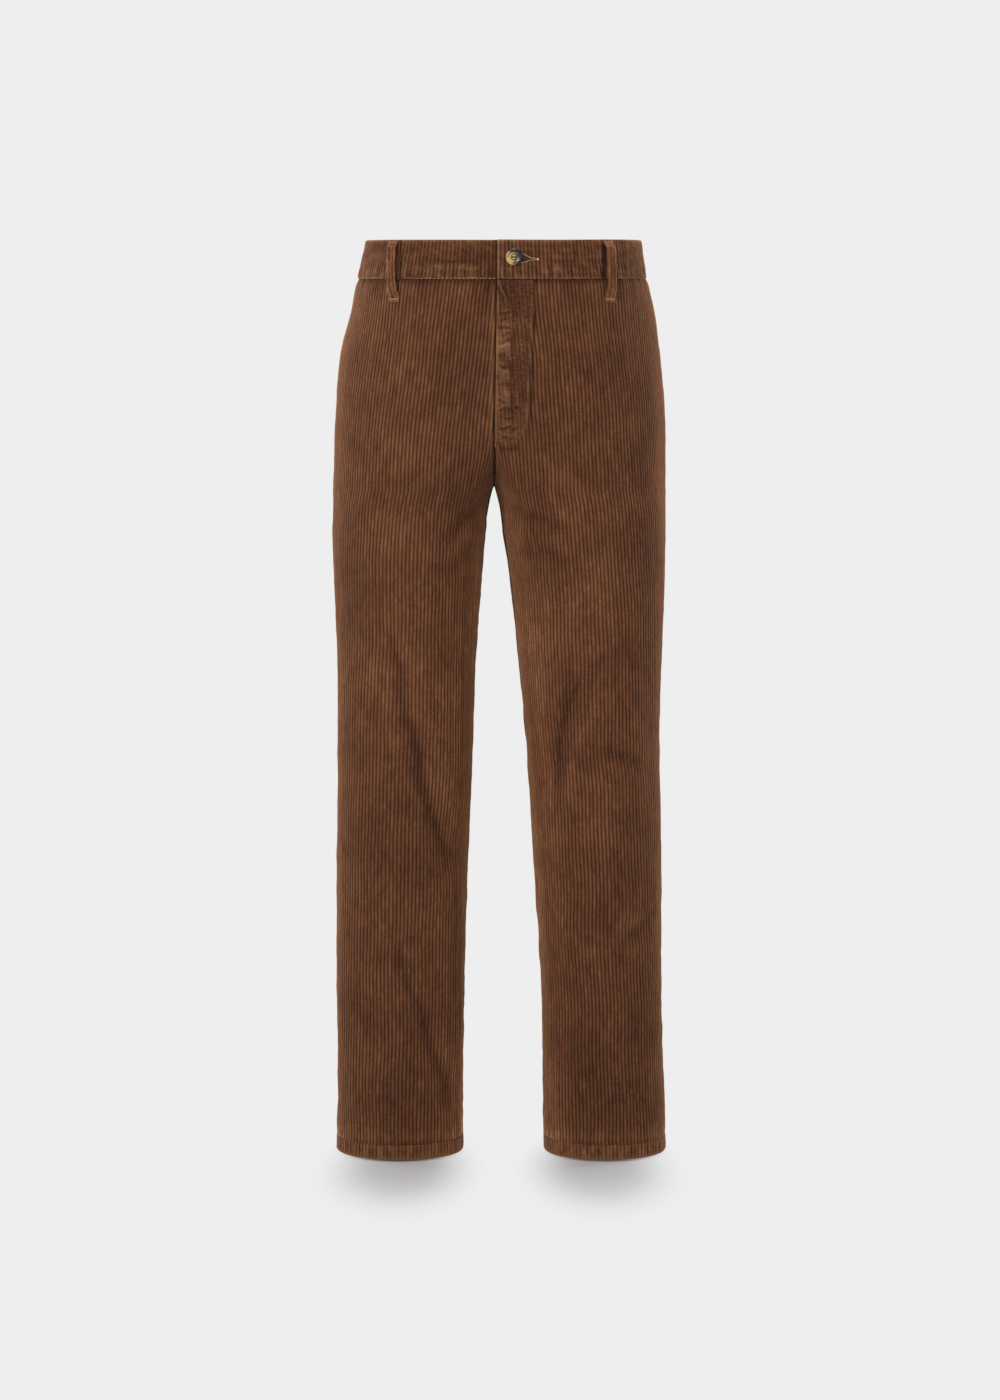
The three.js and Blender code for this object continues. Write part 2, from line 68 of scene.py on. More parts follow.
# Half sections: how far the front and the back stand from the side seams, where each
# side seam is, and how much of the half width is the flat of the front.
SECTIONS = table(
    ["z", "front", "back", "right", "left", "flat"],
    [
        [22, 102, 106, -153.2, 161.4, 0.26],
        [-22, 107, 113, -163.2, 167.9, 0.27],
        [-60, 112, 122, -171.6, 177.8, 0.3],
        [-110, 117, 132, -184, 184.2, 0.36],
        [-160, 120, 138, -188.5, 189.5, 0.42],
        [-207, 119, 136, -191.1, 191.1, 0.47],
        [-258, 112, 125, -192.6, 191.4, 0.5],
        [-323, 102, 110, -194.1, 191.8, 0.5],
        [-400, 94, 98, -191.5, 190.4, 0.5],
        [-470, 88, 89, -189.3, 188, 0.5],
        [-558, 83, 78, -189.8, 186.3, 0.5],
        [-629, 80, 73, -190.2, 187.9, 0.5],
        [-701, 75, 74, -191.9, 189.5, 0.5],
        [-773, 71, 75, -192.3, 190, 0.5],
        [-845, 67, 72, -192.8, 190.4, 0.5],
        [-917, 64, 68, -192, 192, 0.5],
        [-990, 61, 64, -192.5, 195.5, 0.5],
        [-1047.5, 60, 62, -194, 196.4, 0.5],
    ],
)

INSEAMS = table(
    ["z", "right", "left"],
    [
        [-258, -7, -7],
        [-280, -13, -1],
        [-323, -17.4, 5.8],
        [-370, -21, 12.8],
        [-464, -28, 22.2],
        [-558, -31.6, 30.5],
        [-701, -37.7, 40],
        [-845, -41.4, 48.5],
        [-990, -44, 51.1],
        [-1047.5, -44, 52.4],
    ],
)

# Main folds, pressed in by their depth. A fold with a depth below nought is a ridge.
FOLDS = [
    dict(zip(["face", "x1", "z1", "x2", "z2", "width", "depth"], row))
    for row in [
        ["front", -128, -425, -105, -529, 15, 3.6],
        ["front", -105, -529, -60, -700, 17, 4.6],
        ["front", -138, -500, -88, -640, 16, -1.3],
        ["front", -121, -797, -87, -878, 15, 3],
        ["front", -87, -878, -60, -990, 14, 3.4],
        ["front", -14, -278, -72, -318, 13, 3.6],
        ["front", -18, -330, -80, -352, 14, 2.2],
        ["front", 114, -478, 76, -620, 15, -3],
        ["front", 82, -480, 60, -610, 14, 3.4],
        ["front", 118, -556, 166, -574, 12, 2.4],
        ["front", 140, -785, 172, -760, 13, 2.6],
        ["front", 4, -276, 70, -304, 13, 3.4],
        ["front", 12, -330, 84, -344, 15, 2],
        ["back", -20, -268, -96, -330, 18, 4.2],
        ["back", 16, -272, 104, -322, 18, 4.4],
        ["back", -30, -330, -130, -372, 18, 2.8],
        ["back", 30, -344, 120, -360, 16, 2.6],
        ["back", -60, -590, -150, -640, 17, 4.4],
        ["back", -56, -664, -140, -690, 15, 3.2],
        ["back", 64, -604, 158, -628, 17, 4.6],
        ["back", 66, -676, 140, -712, 14, 3],
        ["back", -150, -840, -84, -930, 16, 3],
        ["back", 150, -860, 98, -950, 16, 2.8],
    ]
]
FOLD_FADE = 30.0
FOLD_SHARP = 0.22
FOLD_END = 1.3
# The painted shade in a fold's crease and the painted highlight beside it, for each millimetre of its depth
FOLD_PAINTED_SHADE = 0.03
FOLD_PAINTED_HIGHLIGHT = 0.009

# Broad worn and shaded places on the front: the middle, the reach across and down, and the tone
PATCHES = [
    [-128, -150, 60, 120, 0.01],
    [118, -140, 60, 120, -0.01],
    [-118, -340, 45, 150, 0.06],
    [104, -330, 45, 150, 0.04],
    [-48, -300, 30, 70, -0.05],
    [36, -310, 26, 80, -0.04],
    [-6, -230, 4, 16, -0.3],
    [-50, -800, 16, 150, -0.08],
    [148, -760, 12, 40, 0.09],
    [-100, -940, 60, 110, -0.05],
    [110, -950, 60, 110, -0.05],
]

# Corduroy: the pitch of its wales, their height and shape, and the points across one wale
WALE = 4.35
WALE_HEIGHT = 0.85
WALE_LOW = -0.5
WALE_SHOULDER = 2.4
WALE_CROWN = 0.8
WALE_POINTS = 5
COLUMN = WALE / WALE_POINTS
ROW = 8.0
WAIST_ROWS = 18
RISE_ROWS = 27
CLOTH = 1.2
FLY_CLOTH = 0.9
WELD = 0.012

# The allowances run on under the neighbouring pieces, this deep and this far. At the waistband
# and the hem the cloth turns under within a short height.
TUCK_DEPTH = 3.1
TUCKS = [0.4, 2.4, 5.5]
TUCK_TURN = 1.4
TUCK_END = 5.0

BUTTON = {"x": 15.7, "z": 2.8, "radius": 9.25, "thick": 3.2, "stand": 1.6, "dish": 5.6}

FLY_WIDTH = 42.5
FLY_TURN = -165.0
FLY_BOTTOM = -210.5
FLY_TURN_WIDTH = 39.0
FLY_POWER = 2.8

SIGN = {"left": 1, "right": -1}
RIPPLE_WAVES = 7
RIPPLE_SCALE = 3.2
SLOPE_STEP = 0.8


def smooth_at(rows, column, z):
    """A column of a table at any height, as a smooth curve through its rows."""
    zs = rows["z"]
    values = rows[column]
    height = np.clip(z, zs[-1], zs[0])
    i = np.clip(np.searchsorted(-zs, -height, side="right") - 1, 0, len(zs) - 2)
    slopes = np.diff(values) / np.diff(zs)
    tangents = np.concatenate([slopes[:1], (slopes[:-1] + slopes[1:]) / 2, slopes[-1:]])
    step = zs[i + 1] - zs[i]
    t = (height - zs[i]) / step
    t2 = t * t
    t3 = t2 * t
    return (
        (2 * t3 - 3 * t2 + 1) * values[i]
        + (t3 - 2 * t2 + t) * step * tangents[i]
        + (3 * t2 - 2 * t3) * values[i + 1]
        + (t3 - t2) * step * tangents[i + 1]
    )


def ease(value):
    t = np.clip(value, 0.0, 1.0)
    return t * t * (3 - 2 * t)


def bell(distance, width):
    return np.exp(-((distance / width) ** 2))


def ripple(x, z, seed):
    """Soft uneven waves between about -1 and 1, the same each run."""
    r = np.random.default_rng(seed)
    total = np.zeros(np.broadcast(x, z).shape)
    for _ in range(RIPPLE_WAVES):
        fx, fz = r.normal(0, 1, 2)
        total = total + np.sin(fx * x + fz * z + r.uniform(0, 2 * math.pi))
    return total / RIPPLE_SCALE


def centre_x(z):
    share = np.clip((BAND_SEAM - z) / (BAND_SEAM - CROTCH), 0, 1)
    return CENTRE_TOP_X + (CENTRE_CROTCH_X - CENTRE_TOP_X) * share


def run_of(x, y):
    """Distances along a level line from its start."""
    return np.concatenate([[0], np.cumsum(np.hypot(np.diff(x), np.diff(y)))])


# The grain line's distance from the centre seam at the crotch. It is closer by the slant at the waist.
GRAIN_SLANT = 20.0
GRAIN_START = {
    "right": 0.5 * abs(-192.6 + SEAM_HALF_GAP - CENTRE_CROTCH_X),
    "left": 0.5 * abs(191.4 - SEAM_HALF_GAP - CENTRE_CROTCH_X),
}
GRAIN_POWER = 1.3
LINE_STEPS = 220
_lines = {}


def section_line(side, face, z):
    """The cloth's line at one height: x, y, the distance from the leg's middle, and its two ends."""
    key = (side, face, round(float(z), 3))
    if key in _lines:
        return _lines[key]
    sign = SIGN[side]
    outward = -1 if face == "front" else 1
    down = float(np.clip((RISE_TURN - z) / (RISE_TURN - CROTCH), 0, 1))
    above = z >= CROTCH
    pinch = max(LEAST_PINCH, down ** (2 / RISE_POWER)) if above else 1.0
    seam = centre_x(z) if above else smooth_at(INSEAMS, side, z)
    inner = float(seam) + sign * SEAM_HALF_GAP
    outer = float(smooth_at(SECTIONS, side, z))
    depth = float(smooth_at(SECTIONS, face, z)) * outward
    centre = inner + float(smooth_at(SECTIONS, "flat", z)) * (outer - inner)
    reach = (centre - inner) / pinch
    round_share = float(ease((CROTCH - z) / (CROTCH - LEG_ROUND_Z)))
    power = RISE_POWER + (LEG_POWER - RISE_POWER) * round_share
    start = math.acos(min(1.0, pinch * 1.03) ** (power / 2))
    angle = np.linspace(start, math.pi / 2, LINE_STEPS)
    x_in = centre - reach * np.cos(angle).clip(0) ** (2 / power)
    y_in = depth * np.sin(angle) ** (2 / power)
    angle = np.linspace(math.pi / 2, 0, LINE_STEPS)[1:]
    x_out = centre + (outer - centre) * np.cos(angle).clip(0) ** (2 / SIDE_POWER)
    y_out = depth * np.sin(angle).clip(0) ** (2 / SIDE_POWER)
    x = np.concatenate([x_in, x_out])
    y = np.concatenate([y_in, y_out])
    arc = run_of(x, y)
    arc = arc - arc[LINE_STEPS - 1]
    first = float(arc[0])
    grain = 0.0
    if above:
        slant = GRAIN_SLANT * ((z - CROTCH) / (BAND_SEAM - CROTCH)) ** GRAIN_POWER
        grain = GRAIN_START[side] - slant - abs(centre - inner)
        if pinch < 1:
            first = float(np.interp(inner * sign, x * sign, arc))
    _lines[key] = (x, y, arc - grain, first - grain, float(arc[-1]) - grain)
    return _lines[key]


def edges_at(side, face, z):
    """The row's two ends, as distances from the grain line."""
    return section_line(side, face, z)[3:]


def plain_row(side, face, z, s):
    """Points of one row of the plain surface, at distances s from the grain line."""
    x, y, arc, _, _ = section_line(side, face, z)
    return np.stack([np.interp(s, arc, x), np.interp(s, arc, y), np.full(len(s), float(z))], axis=1)


def outward_row(side, face, z, s):
    """Outward directions along one row of the plain surface."""
    step = SLOPE_STEP
    low, high = z - step, (z if CROTCH - step <= z <= CROTCH + 0.01 else z + step)
    along = plain_row(side, face, z, s + step) - plain_row(side, face, z, s - step)
    up = plain_row(side, face, high, s) - plain_row(side, face, low, s)
    normal = np.cross(along, up)
    if (side == "left") != (face == "front"):
        normal = -normal
    return normal / np.linalg.norm(normal, axis=1, keepdims=True).clip(1e-9)


def folds_at(face, x, z):
    """How deep the folds are at a place, and the painted light on them: painted shade in the crease, a
    painted highlight beside it.
    """
    depth = np.zeros(np.broadcast(x, z).shape)
    tone = np.zeros_like(depth)
    for number, fold in enumerate(FOLDS):
        if fold["face"] != face:
            continue
        run = np.array([fold["x2"] - fold["x1"], fold["z2"] - fold["z1"]], float)
        length = np.linalg.norm(run)
        run = run / length
        dx, dz = x - fold["x1"], z - fold["z1"]
        along = dx * run[0] + dz * run[1]
        across = dx * run[1] - dz * run[0]
        across = across + 3.2 * np.sin(along * 0.045 + number) + 1.1 * np.sin(along * 0.17)
        width, deep = fold["width"], fold["depth"]
        reach = FOLD_END * width
        ends = ease((along + reach) / (2 * reach)) * ease((length - along + reach) / (2 * reach))
        crease = bell(across, width) + FOLD_SHARP * bell(across, 0.32 * width)
        depth += deep * ends * crease
        # Painted shade in the crease and a painted highlight beside it
        tone -= FOLD_PAINTED_SHADE * deep * ends * bell(across, 0.4 * width)
        tone += FOLD_PAINTED_HIGHLIGHT * abs(deep) * ends * bell(across + width, 0.6 * width)
    return depth, tone


def fly_edge(z):
    """How far the fly's curved edge is from the centre front."""
    drop = np.clip((FLY_TURN - z) / (FLY_TURN - FLY_BOTTOM), 0, 1)
    taper = np.clip((BAND_SEAM - z) / (BAND_SEAM - FLY_TURN), 0, 1)
    width = FLY_WIDTH + (FLY_TURN_WIDTH - FLY_WIDTH) * taper
    return np.where(z < FLY_BOTTOM, 0.0, width * (1 - drop**FLY_POWER) ** (1 / FLY_POWER))


def wale_height(s):
    """The height of the pile across the wales, from 0 in a valley to 1 on a ridge."""
    phase = np.mod(s / WALE, 1.0)
    return (1 - np.abs(2 * phase - 1) ** WALE_SHOULDER) ** WALE_CROWN


def wales(s):
    """The pile's height over the plain surface."""
    return WALE_LOW + WALE_HEIGHT * wale_height(s)


SWAY_FADE = 15
SIDE_FADE = 40
PANEL_SEEDS = {"right": {"front": 11, "back": 16}, "left": {"front": 23, "back": 28}}


def panel_row(side, face, z, s):
    """One row of a panel as made: folds, undulation, seams, wales. Gives points, wear and painted shade,
    and tone with painted light.
    """
    first, last = edges_at(side, face, z)
    from_inner, from_side = s - first, last - s
    seam = np.minimum(from_inner, from_side)
    seed = PANEL_SEEDS[side][face]
    sway = 0.9 * ripple(s * 0.018, z * 0.022, seed + 40) + 0.5 * ripple(s * 0.06, z * 0.05, seed + 50)
    sway = sway * ease(from_inner / SWAY_FADE) * ease(from_side / SWAY_FADE)
    base = plain_row(side, face, z, s + sway)
    normal = outward_row(side, face, z, s + sway)
    x = base[:, 0]
    fade = ease(from_inner / FOLD_FADE) * ease(from_side / FOLD_FADE)
    fade = fade * ease((BAND_SEAM - z) / FOLD_FADE) * ease((z - HEM_SEAM) / SIDE_FADE)
    depth, tone = folds_at(face, x, z)
    lift = -depth * fade

    facing = normal[:, 0] * SIGN[side]
    # Painted sheen: the pile is painted lighter where the cloth turns side-on, and painted light lifts the
    # shade on the inner sides of the legs
    inner_leg_painted_light = ease((-facing - 0.3) / 0.5) * ease((CROTCH - z) / 60)
    painted_sheen = 0.1 * ease((abs(facing) - 0.86) / 0.13) + 0.1 * inner_leg_painted_light
    sides = ease((abs(facing) - 0.45) / 0.4) * ease((BAND_SEAM - z) / SIDE_FADE)
    tone = tone * fade + painted_sheen + 0.02 * ripple(x * 0.03, z * 0.02, seed + 80)
    tone += np.where(facing < 0, 0.07, 0.035) * sides * ripple(s, z * 0.012, seed + 82)
    tone += 0.09 * bell(z - HEM_SEAM - 3, 11) * (1 + 0.6 * ripple(s * 0.3, z * 0.02, seed + 81))
    for px, pz, reach, drop, value in PATCHES if face == "front" else []:
        tone += value * bell(x - px, reach) * bell(z - pz, drop)

    waves = 0.9 * ripple(s * 0.021, z * 0.012, seed)
    lift += waves * ease(from_side / SIDE_FADE) * ease((z - HEM_SEAM) / 60)
    lift += 0.45 * ripple(s * 0.03, z * 0.22, seed + 60) * bell(seam - 5, 7)
    gathers = ripple(s * 0.3, z * 0.04, seed + 70) * bell(z - BAND_SEAM + 8, 11)
    lift += 0.8 * gathers
    # Painted light on the gathers: lighter where they rise, darker in their hollows
    tone += 0.07 * gathers
    lift += 0.4 * ripple(s * 0.28, z * 0.03, seed + 71) * bell(z - HEM_SEAM - 8, 9)
    # Painted shade in the sunk seams and under the band; the lighter strip beside each seam is wear
    sunk_and_shaded, under_band = bell(seam, 2.0), bell(BAND_SEAM - z, 1.6)
    groove = np.clip(sunk_and_shaded + under_band, 0, 1)
    lift = lift - 1.1 * sunk_and_shaded - 0.45 * under_band
    wear_and_painted_light = 0.42 * bell(seam - 3.2, 2.2) - 0.5 * groove - 0.45 * bell(z - BAND_SEAM + 2.5, 2.2)
    relief = WALE_LOW + WALE_HEIGHT * wale_height(s) * (1 - 0.8 * groove)
    tuck = ease((z - BAND_SEAM) / TUCK_TURN) + ease((HEM_SEAM - z) / TUCK_TURN)
    lift = lift * (1 - tuck) - TUCK_DEPTH * tuck
    relief *= 1 - tuck
    if face == "front" and side == "left":
        across, over = x - centre_x(z), z - FLY_BOTTOM
        edge = fly_edge(z)
        lift -= 1.3 * (ease((edge - across) / 2.5) * ease(over / 2.5))
        # Painted shadow beside the fly's edge and under its foot
        fly_edge_shadow = bell(across - edge - 1.2, 1.2) * ease(over / 8)
        wear_and_painted_light -= (0.7 + 0.5 * ripple(z * 0.24, 0 * across, 91)) * fly_edge_shadow
        fly_foot_shadow = bell(over + 1.5, 2.0) * ease((FLY_TURN_WIDTH - 8 - across) / 6)
        wear_and_painted_light -= 0.7 * (fly_foot_shadow * ease((across - 3) / 4))
    if face == "front" and side == "right":
        # Painted shade along the centre seam beside the fly's edge
        wear_and_painted_light -= 0.45 * bell(from_inner - 0.8, 1.5) * ease((z - CROTCH) / 20)
    return base + normal * (lift + relief)[:, None], wear_and_painted_light, tone


# Materials

class Nodes:
    """The nodes of a material or of the world, with short ways to add and link them."""

    def __init__(self, owner, output):
        owner.use_nodes = True
        self.tree = owner.node_tree
        self.tree.nodes.clear()
        self.surface = self.add(output).inputs["Surface"]

    def give(self, socket, value):
        """Links a socket, or sets its value."""
        if isinstance(value, bpy.types.NodeSocket):
            self.tree.links.new(value, socket)
        else:
            socket.default_value = value

    def fill(self, node, values):
        """Gives a node's inputs by their names."""
        for name, value in values.items():
            self.give(node.inputs[name], value)

    def add(self, kind, *inputs):
        """A new node, with its first inputs in their order."""
        node = self.tree.nodes.new(kind)
        for socket, value in zip(node.inputs, inputs):
            self.give(socket, value)
        return node

    def calc(self, operation, *values, clamp=False):
        node = self.tree.nodes.new("ShaderNodeMath")
        node.operation = operation
        node.use_clamp = clamp
        for socket, value in zip(node.inputs, values):
            self.give(socket, value)
        return node.outputs[0]

    def times(self, *values, clamp=False):
        """One value times the next, plus the third where there is one."""
        return self.calc("MULTIPLY_ADD" if len(values) > 2 else "MULTIPLY", *values, clamp=clamp)

    def minus(self, first, second):
        return self.calc("SUBTRACT", first, second)

    def noise(self, vector, scale, detail=2.0, roughness=0.5):
        node = self.add("ShaderNodeTexNoise")
        self.fill(node, {"Vector": vector, "Scale": scale, "Detail": detail, "Roughness": roughness})
        return node.outputs["Fac"]

    def place(self):
        return self.add("ShaderNodeTexCoord").outputs["Object"]

    def parts(self, vector):
        return self.add("ShaderNodeSeparateXYZ", vector).outputs

    def attribute(self, name, output):
        node = self.add("ShaderNodeAttribute")
        node.attribute_name = name
        return node.outputs[output]

    def ramp(self, factor, stops):
        node = self.add("ShaderNodeValToRGB", factor)
        elements = node.color_ramp.elements
        elements[0].position, elements[0].color = stops[0]
        elements[1].position, elements[1].color = stops[-1]
        for place, colour in stops[1:-1]:
            elements.new(place).color = colour
        return node.outputs[0]

    def mixed(self, share, first, second):
        node = self.tree.nodes.new("ShaderNodeMix")
        node.data_type = "RGBA"
        for index, value in ((0, share), (6, first), (7, second)):
            self.give(node.inputs[index], value)
        return node.outputs[2]

    def bump(self, shader, height, strength, distance):
        node = self.add("ShaderNodeBump")
        self.fill(node, {"Strength": strength, "Distance": distance, "Height": height})
        self.give(shader.inputs["Normal"], node.outputs[0])


def new_material(name):
    """A material, its nodes and its shader."""
    material = bpy.data.materials.new(name)
    nodes = Nodes(material, "ShaderNodeOutputMaterial")
    shader = nodes.add("ShaderNodeBsdfPrincipled")
    nodes.give(nodes.surface, shader.outputs[0])
    return material, nodes, shader


def srgb(red, green, blue):
    """A colour given as it shows on a screen, from 0 to 255."""
    def linear(value):
        share = value / 255
        return share / 12.92 if share <= 0.04045 else ((share + 0.055) / 1.055) ** 2.4
    return (linear(red), linear(green), linear(blue), 1.0)


def cloth_look(nodes, shader, colour, roughness, sheen, tint):
    nodes.fill(shader, {
        "Base Color": colour,
        "Roughness": roughness,
        "Specular IOR Level": 0.15,
        "Sheen Weight": sheen,
        "Sheen Roughness": 0.28,
        "Sheen Tint": tint,
    })


# The pile's colours from its dark ground to its worn tips. The ground's colour is also the painted shade,
# and the worn colour also the painted highlight.
GROUND_AND_SHADE = srgb(40, 22, 13)
WORN_AND_HIGHLIGHT = srgb(150, 108, 76)
PILE = [
    (0.0, GROUND_AND_SHADE),
    (0.22, srgb(64, 36, 22)),
    (0.5, srgb(90, 55, 34)),
    (0.8, srgb(116, 76, 50)),
    (1.0, WORN_AND_HIGHLIGHT),
]
PILE_TINT = srgb(214, 160, 118)


def corduroy_material(name, brightness=0.0, crush=0.0):
    """Cut pile in wales over a darker ground. The grain attribute is wales across, wales along, and wear
    with painted light and shade.
    """
    material, nodes, shader = new_material(name)
    across, along, wear_and_painted_light = nodes.parts(nodes.attribute("grain", "Vector"))

    def pile_noise(start, rate, along_rate, detail, roughness, layer=0.0):
        """Noise that is stretched over the wales."""
        spot = nodes.times(start, rate), nodes.times(along, along_rate), layer
        spot = nodes.add("ShaderNodeCombineXYZ", *spot)
        return nodes.noise(spot.outputs[0], 1.0, detail, roughness)

    # Lighter on the wale ridges, darker in the valleys: the darker ground, and painted shade in the valleys
    # as well
    from_ridge = nodes.calc("ABSOLUTE", nodes.times(nodes.calc("FRACT", across), 2.0, -1.0))
    ridge = nodes.minus(1.0, nodes.calc("POWER", from_ridge, 2.2))
    streak = pile_noise(nodes.calc("FLOOR", across), 7.31, 0.22, 3.0, 0.6)
    speckle = pile_noise(across, 3.7, 3.0, 4.0, 0.75)
    crumple = pile_noise(across, 0.8, 2.6, 4.0, 0.7, 5.0)
    place = nodes.place()
    mottle = nodes.noise(place, 11.0, 4.0, 0.6)
    strength = nodes.times(nodes.noise(place, 20.0, 3.0), 0.45, 0.33 - 0.3 * crush)
    # The tone attribute brings painted shade and highlights of folds and gathers, painted sheen at the
    # sides, and worn places
    tone = nodes.times(nodes.attribute("tone", "Fac"), 1.6, nodes.times(ridge, strength))
    for value, weight in ((streak, 0.65), (speckle, 1.4), (mottle, 0.1), (crumple, 1.2 * crush)):
        tone = nodes.times(nodes.minus(value, 0.5), weight, tone)
    colour = nodes.ramp(nodes.calc("ADD", tone, brightness), PILE)
    # Wear and painted highlights lighten towards the worn colour; painted shade darkens towards the
    # ground's colour
    lightening = nodes.times(wear_and_painted_light, nodes.times(speckle, 1.1, 0.05), clamp=True)
    sunk_and_shaded = nodes.times(wear_and_painted_light, -1.0, clamp=True)
    colour = nodes.mixed(sunk_and_shaded, nodes.mixed(lightening, colour, WORN_AND_HIGHLIGHT), GROUND_AND_SHADE)
    cloth_look(nodes, shader, colour, 0.95, 0.9, PILE_TINT)
    nodes.bump(shader, speckle, 0.55, 0.0006)
    return material


def backing_material(name):
    """The flat woven back of the cloth, seen inside the waist and the hems."""
    material, nodes, shader = new_material(name)
    place = nodes.place()
    wave = nodes.add("ShaderNodeTexWave")
    wave.bands_direction = "DIAGONAL"
    nodes.fill(wave, {"Vector": place, "Scale": 480.0, "Distortion": 2.0})
    twill = wave.outputs["Fac"]
    tone = nodes.times(twill, 0.35, nodes.noise(place, 26.0, 3.0))
    colour = nodes.ramp(tone, [(0.2, srgb(84, 55, 38)), (1.0, srgb(122, 88, 64))])
    cloth_look(nodes, shader, colour, 0.9, 0.2, PILE_TINT)
    nodes.bump(shader, twill, 0.4, 0.0003)
    return material


def thread_material(name, light, dark):
    """Twisted sewing thread."""
    material, nodes, shader = new_material(name)
    strands = nodes.noise(nodes.place(), 900.0, 2.0)
    cloth_look(nodes, shader, nodes.ramp(strands, [(0.3, dark), (0.7, light)]), 0.75, 0.2, light)
    nodes.bump(shader, strands, 0.5, 0.0002)
    return material


def horn_material(name):
    """Polished horn: near black at the upper right, olive and straw lower left, with a pale ring."""
    material, nodes, shader = new_material(name)
    place = nodes.place()
    parts = nodes.parts(place)
    x = nodes.minus(parts[0], BUTTON["x"] * MM)
    z = nodes.minus(parts[2], BUTTON["z"] * MM)
    cloud = nodes.noise(place, 170.0, 4.0, 0.6)
    tone = nodes.times(cloud, 1.1, nodes.times(x, -36.0, nodes.times(z, -24.0, -0.09)))
    squares = nodes.calc("ADD", nodes.times(x, x), nodes.times(z, z))
    from_ring = nodes.calc("ABSOLUTE", nodes.minus(nodes.calc("SQRT", squares), 4.9 * MM))
    ring = nodes.times(from_ring, -900.0, 1.0, clamp=True)
    inside = nodes.calc("LESS_THAN", squares, (BUTTON["dish"] * MM) ** 2)
    tone = nodes.times(ring, 0.2, nodes.times(inside, 0.04, tone))
    stops = [
        (0.3, srgb(14, 14, 20)),
        (0.44, srgb(38, 32, 24)),
        (0.56, srgb(100, 80, 40)),
        (0.78, srgb(176, 146, 84)),
    ]
    nodes.fill(shader, {
        "Base Color": nodes.ramp(tone, stops),
        "Roughness": 0.3,
        "Specular IOR Level": 0.3,
        "Coat Weight": 0.25,
        "Coat Roughness": 0.1,
    })
    nodes.bump(shader, cloud, 0.12, 0.0004)
    return material


CORDUROY = corduroy_material("corduroy")
CORDUROY_BAND = corduroy_material("corduroy_band", 0.03, 0.2)
CORDUROY_FLY = corduroy_material("corduroy_fly", 0.15, 1.0)
CORDUROY_HEM = corduroy_material("corduroy_hem", 0.2, 0.3)
CORDUROY_LOOP = corduroy_material("corduroy_loop", 0.2, 0.5)
BACKING = backing_material("cloth_back")
TAN_THREAD = thread_material("tan_thread", srgb(170, 134, 100), srgb(126, 92, 64))
BROWN_THREAD = thread_material("brown_thread", srgb(128, 92, 66), srgb(92, 60, 40))
DARK_THREAD = thread_material("dark_thread", srgb(104, 72, 50), srgb(74, 47, 31))
CREAM_THREAD = thread_material("cream_thread", srgb(226, 202, 168), srgb(182, 154, 118))
HORN = horn_material("horn")
# A dark cloth for the painted shade in the buttonhole
PAINTED_SHADE_CLOTH = thread_material("shadowed_cloth", srgb(70, 44, 30), srgb(46, 28, 19))


# Making pieces

def linked(name, data):
    """A new object in the scene."""
    made = bpy.data.objects.new(name, data)
    bpy.context.scene.collection.objects.link(made)
    return made


def mesh_of(name, bm):
    mesh = bpy.data.meshes.new(name)
    bm.to_mesh(mesh)
    bm.free()
    return mesh


def finished(name, bm, materials):
    """A piece's object at the origin, smooth, riding on the garment."""
    mesh = mesh_of(name, bm)
    for material in materials:
        mesh.materials.append(material)
    mesh.shade_smooth()
    piece = linked(name, mesh)
    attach(piece, "root")
    return piece


def empty_grid(rows, columns):
    """Points and grain for a grid of cloth, all at nought."""
    return np.zeros((rows, columns, 3)), np.zeros((rows, columns, 3))


def cloth_grid(points, grain, turned=False, tone=None):
    """A grid of cloth moved to its points, in millimetres, with its grain and tone stored on it."""
    rows, columns = points.shape[:2]
    bm = bmesh.new()
    bmesh.ops.create_grid(bm, x_segments=columns - 1, y_segments=rows - 1, size=1.0)
    layer = bm.verts.layers.float_vector.new("grain")
    tone_layer = bm.verts.layers.float.new("tone")
    for vert in bm.verts:
        j = round((vert.co.x + 1) / 2 * (columns - 1))
        i = round((1 - vert.co.y) / 2 * (rows - 1))
        vert.co = points[i, j] * MM
        vert[layer] = grain[i, j]
        vert[tone_layer] = 0.0 if tone is None else tone[i, j]
    bmesh.ops.remove_doubles(bm, verts=bm.verts, dist=WELD * MM)
    if turned:
        bmesh.ops.reverse_faces(bm, faces=bm.faces)
    return bm


def grain_row(s, z, wear_and_painted_light):
    """The grain of one row: wales across, wales along, and wear with painted light and shade."""
    return np.stack([s / WALE, np.full(len(s), z / WALE), wear_and_painted_light], axis=1)


def thicken(piece, thickness, second_material=0):
    """Gives a piece of cloth its thickness, inwards."""
    solidify = piece.modifiers.new("thickness", "SOLIDIFY")
    solidify.thickness = thickness * MM
    solidify.offset = -1
    solidify.material_offset = second_material
    return piece


def panel_heights():
    waist = np.linspace(BAND_SEAM - SEAM_HALF_GAP, RISE_TURN, WAIST_ROWS)[:-1]
    waist = np.concatenate([[BAND_SEAM + TUCK_END, BAND_SEAM + TUCK_TURN], waist])
    rise = RISE_TURN + (CROTCH - RISE_TURN) * np.sin(np.linspace(0, math.pi / 2, RISE_ROWS)[:-1])
    leg_rows = round((CROTCH - HEM_SEAM) / ROW)
    leg = np.linspace(CROTCH, HEM_SEAM + SEAM_HALF_GAP, leg_rows)
    return np.concatenate([waist, rise, leg, [HEM_SEAM - TUCK_TURN, HEM_SEAM - TUCK_END]])


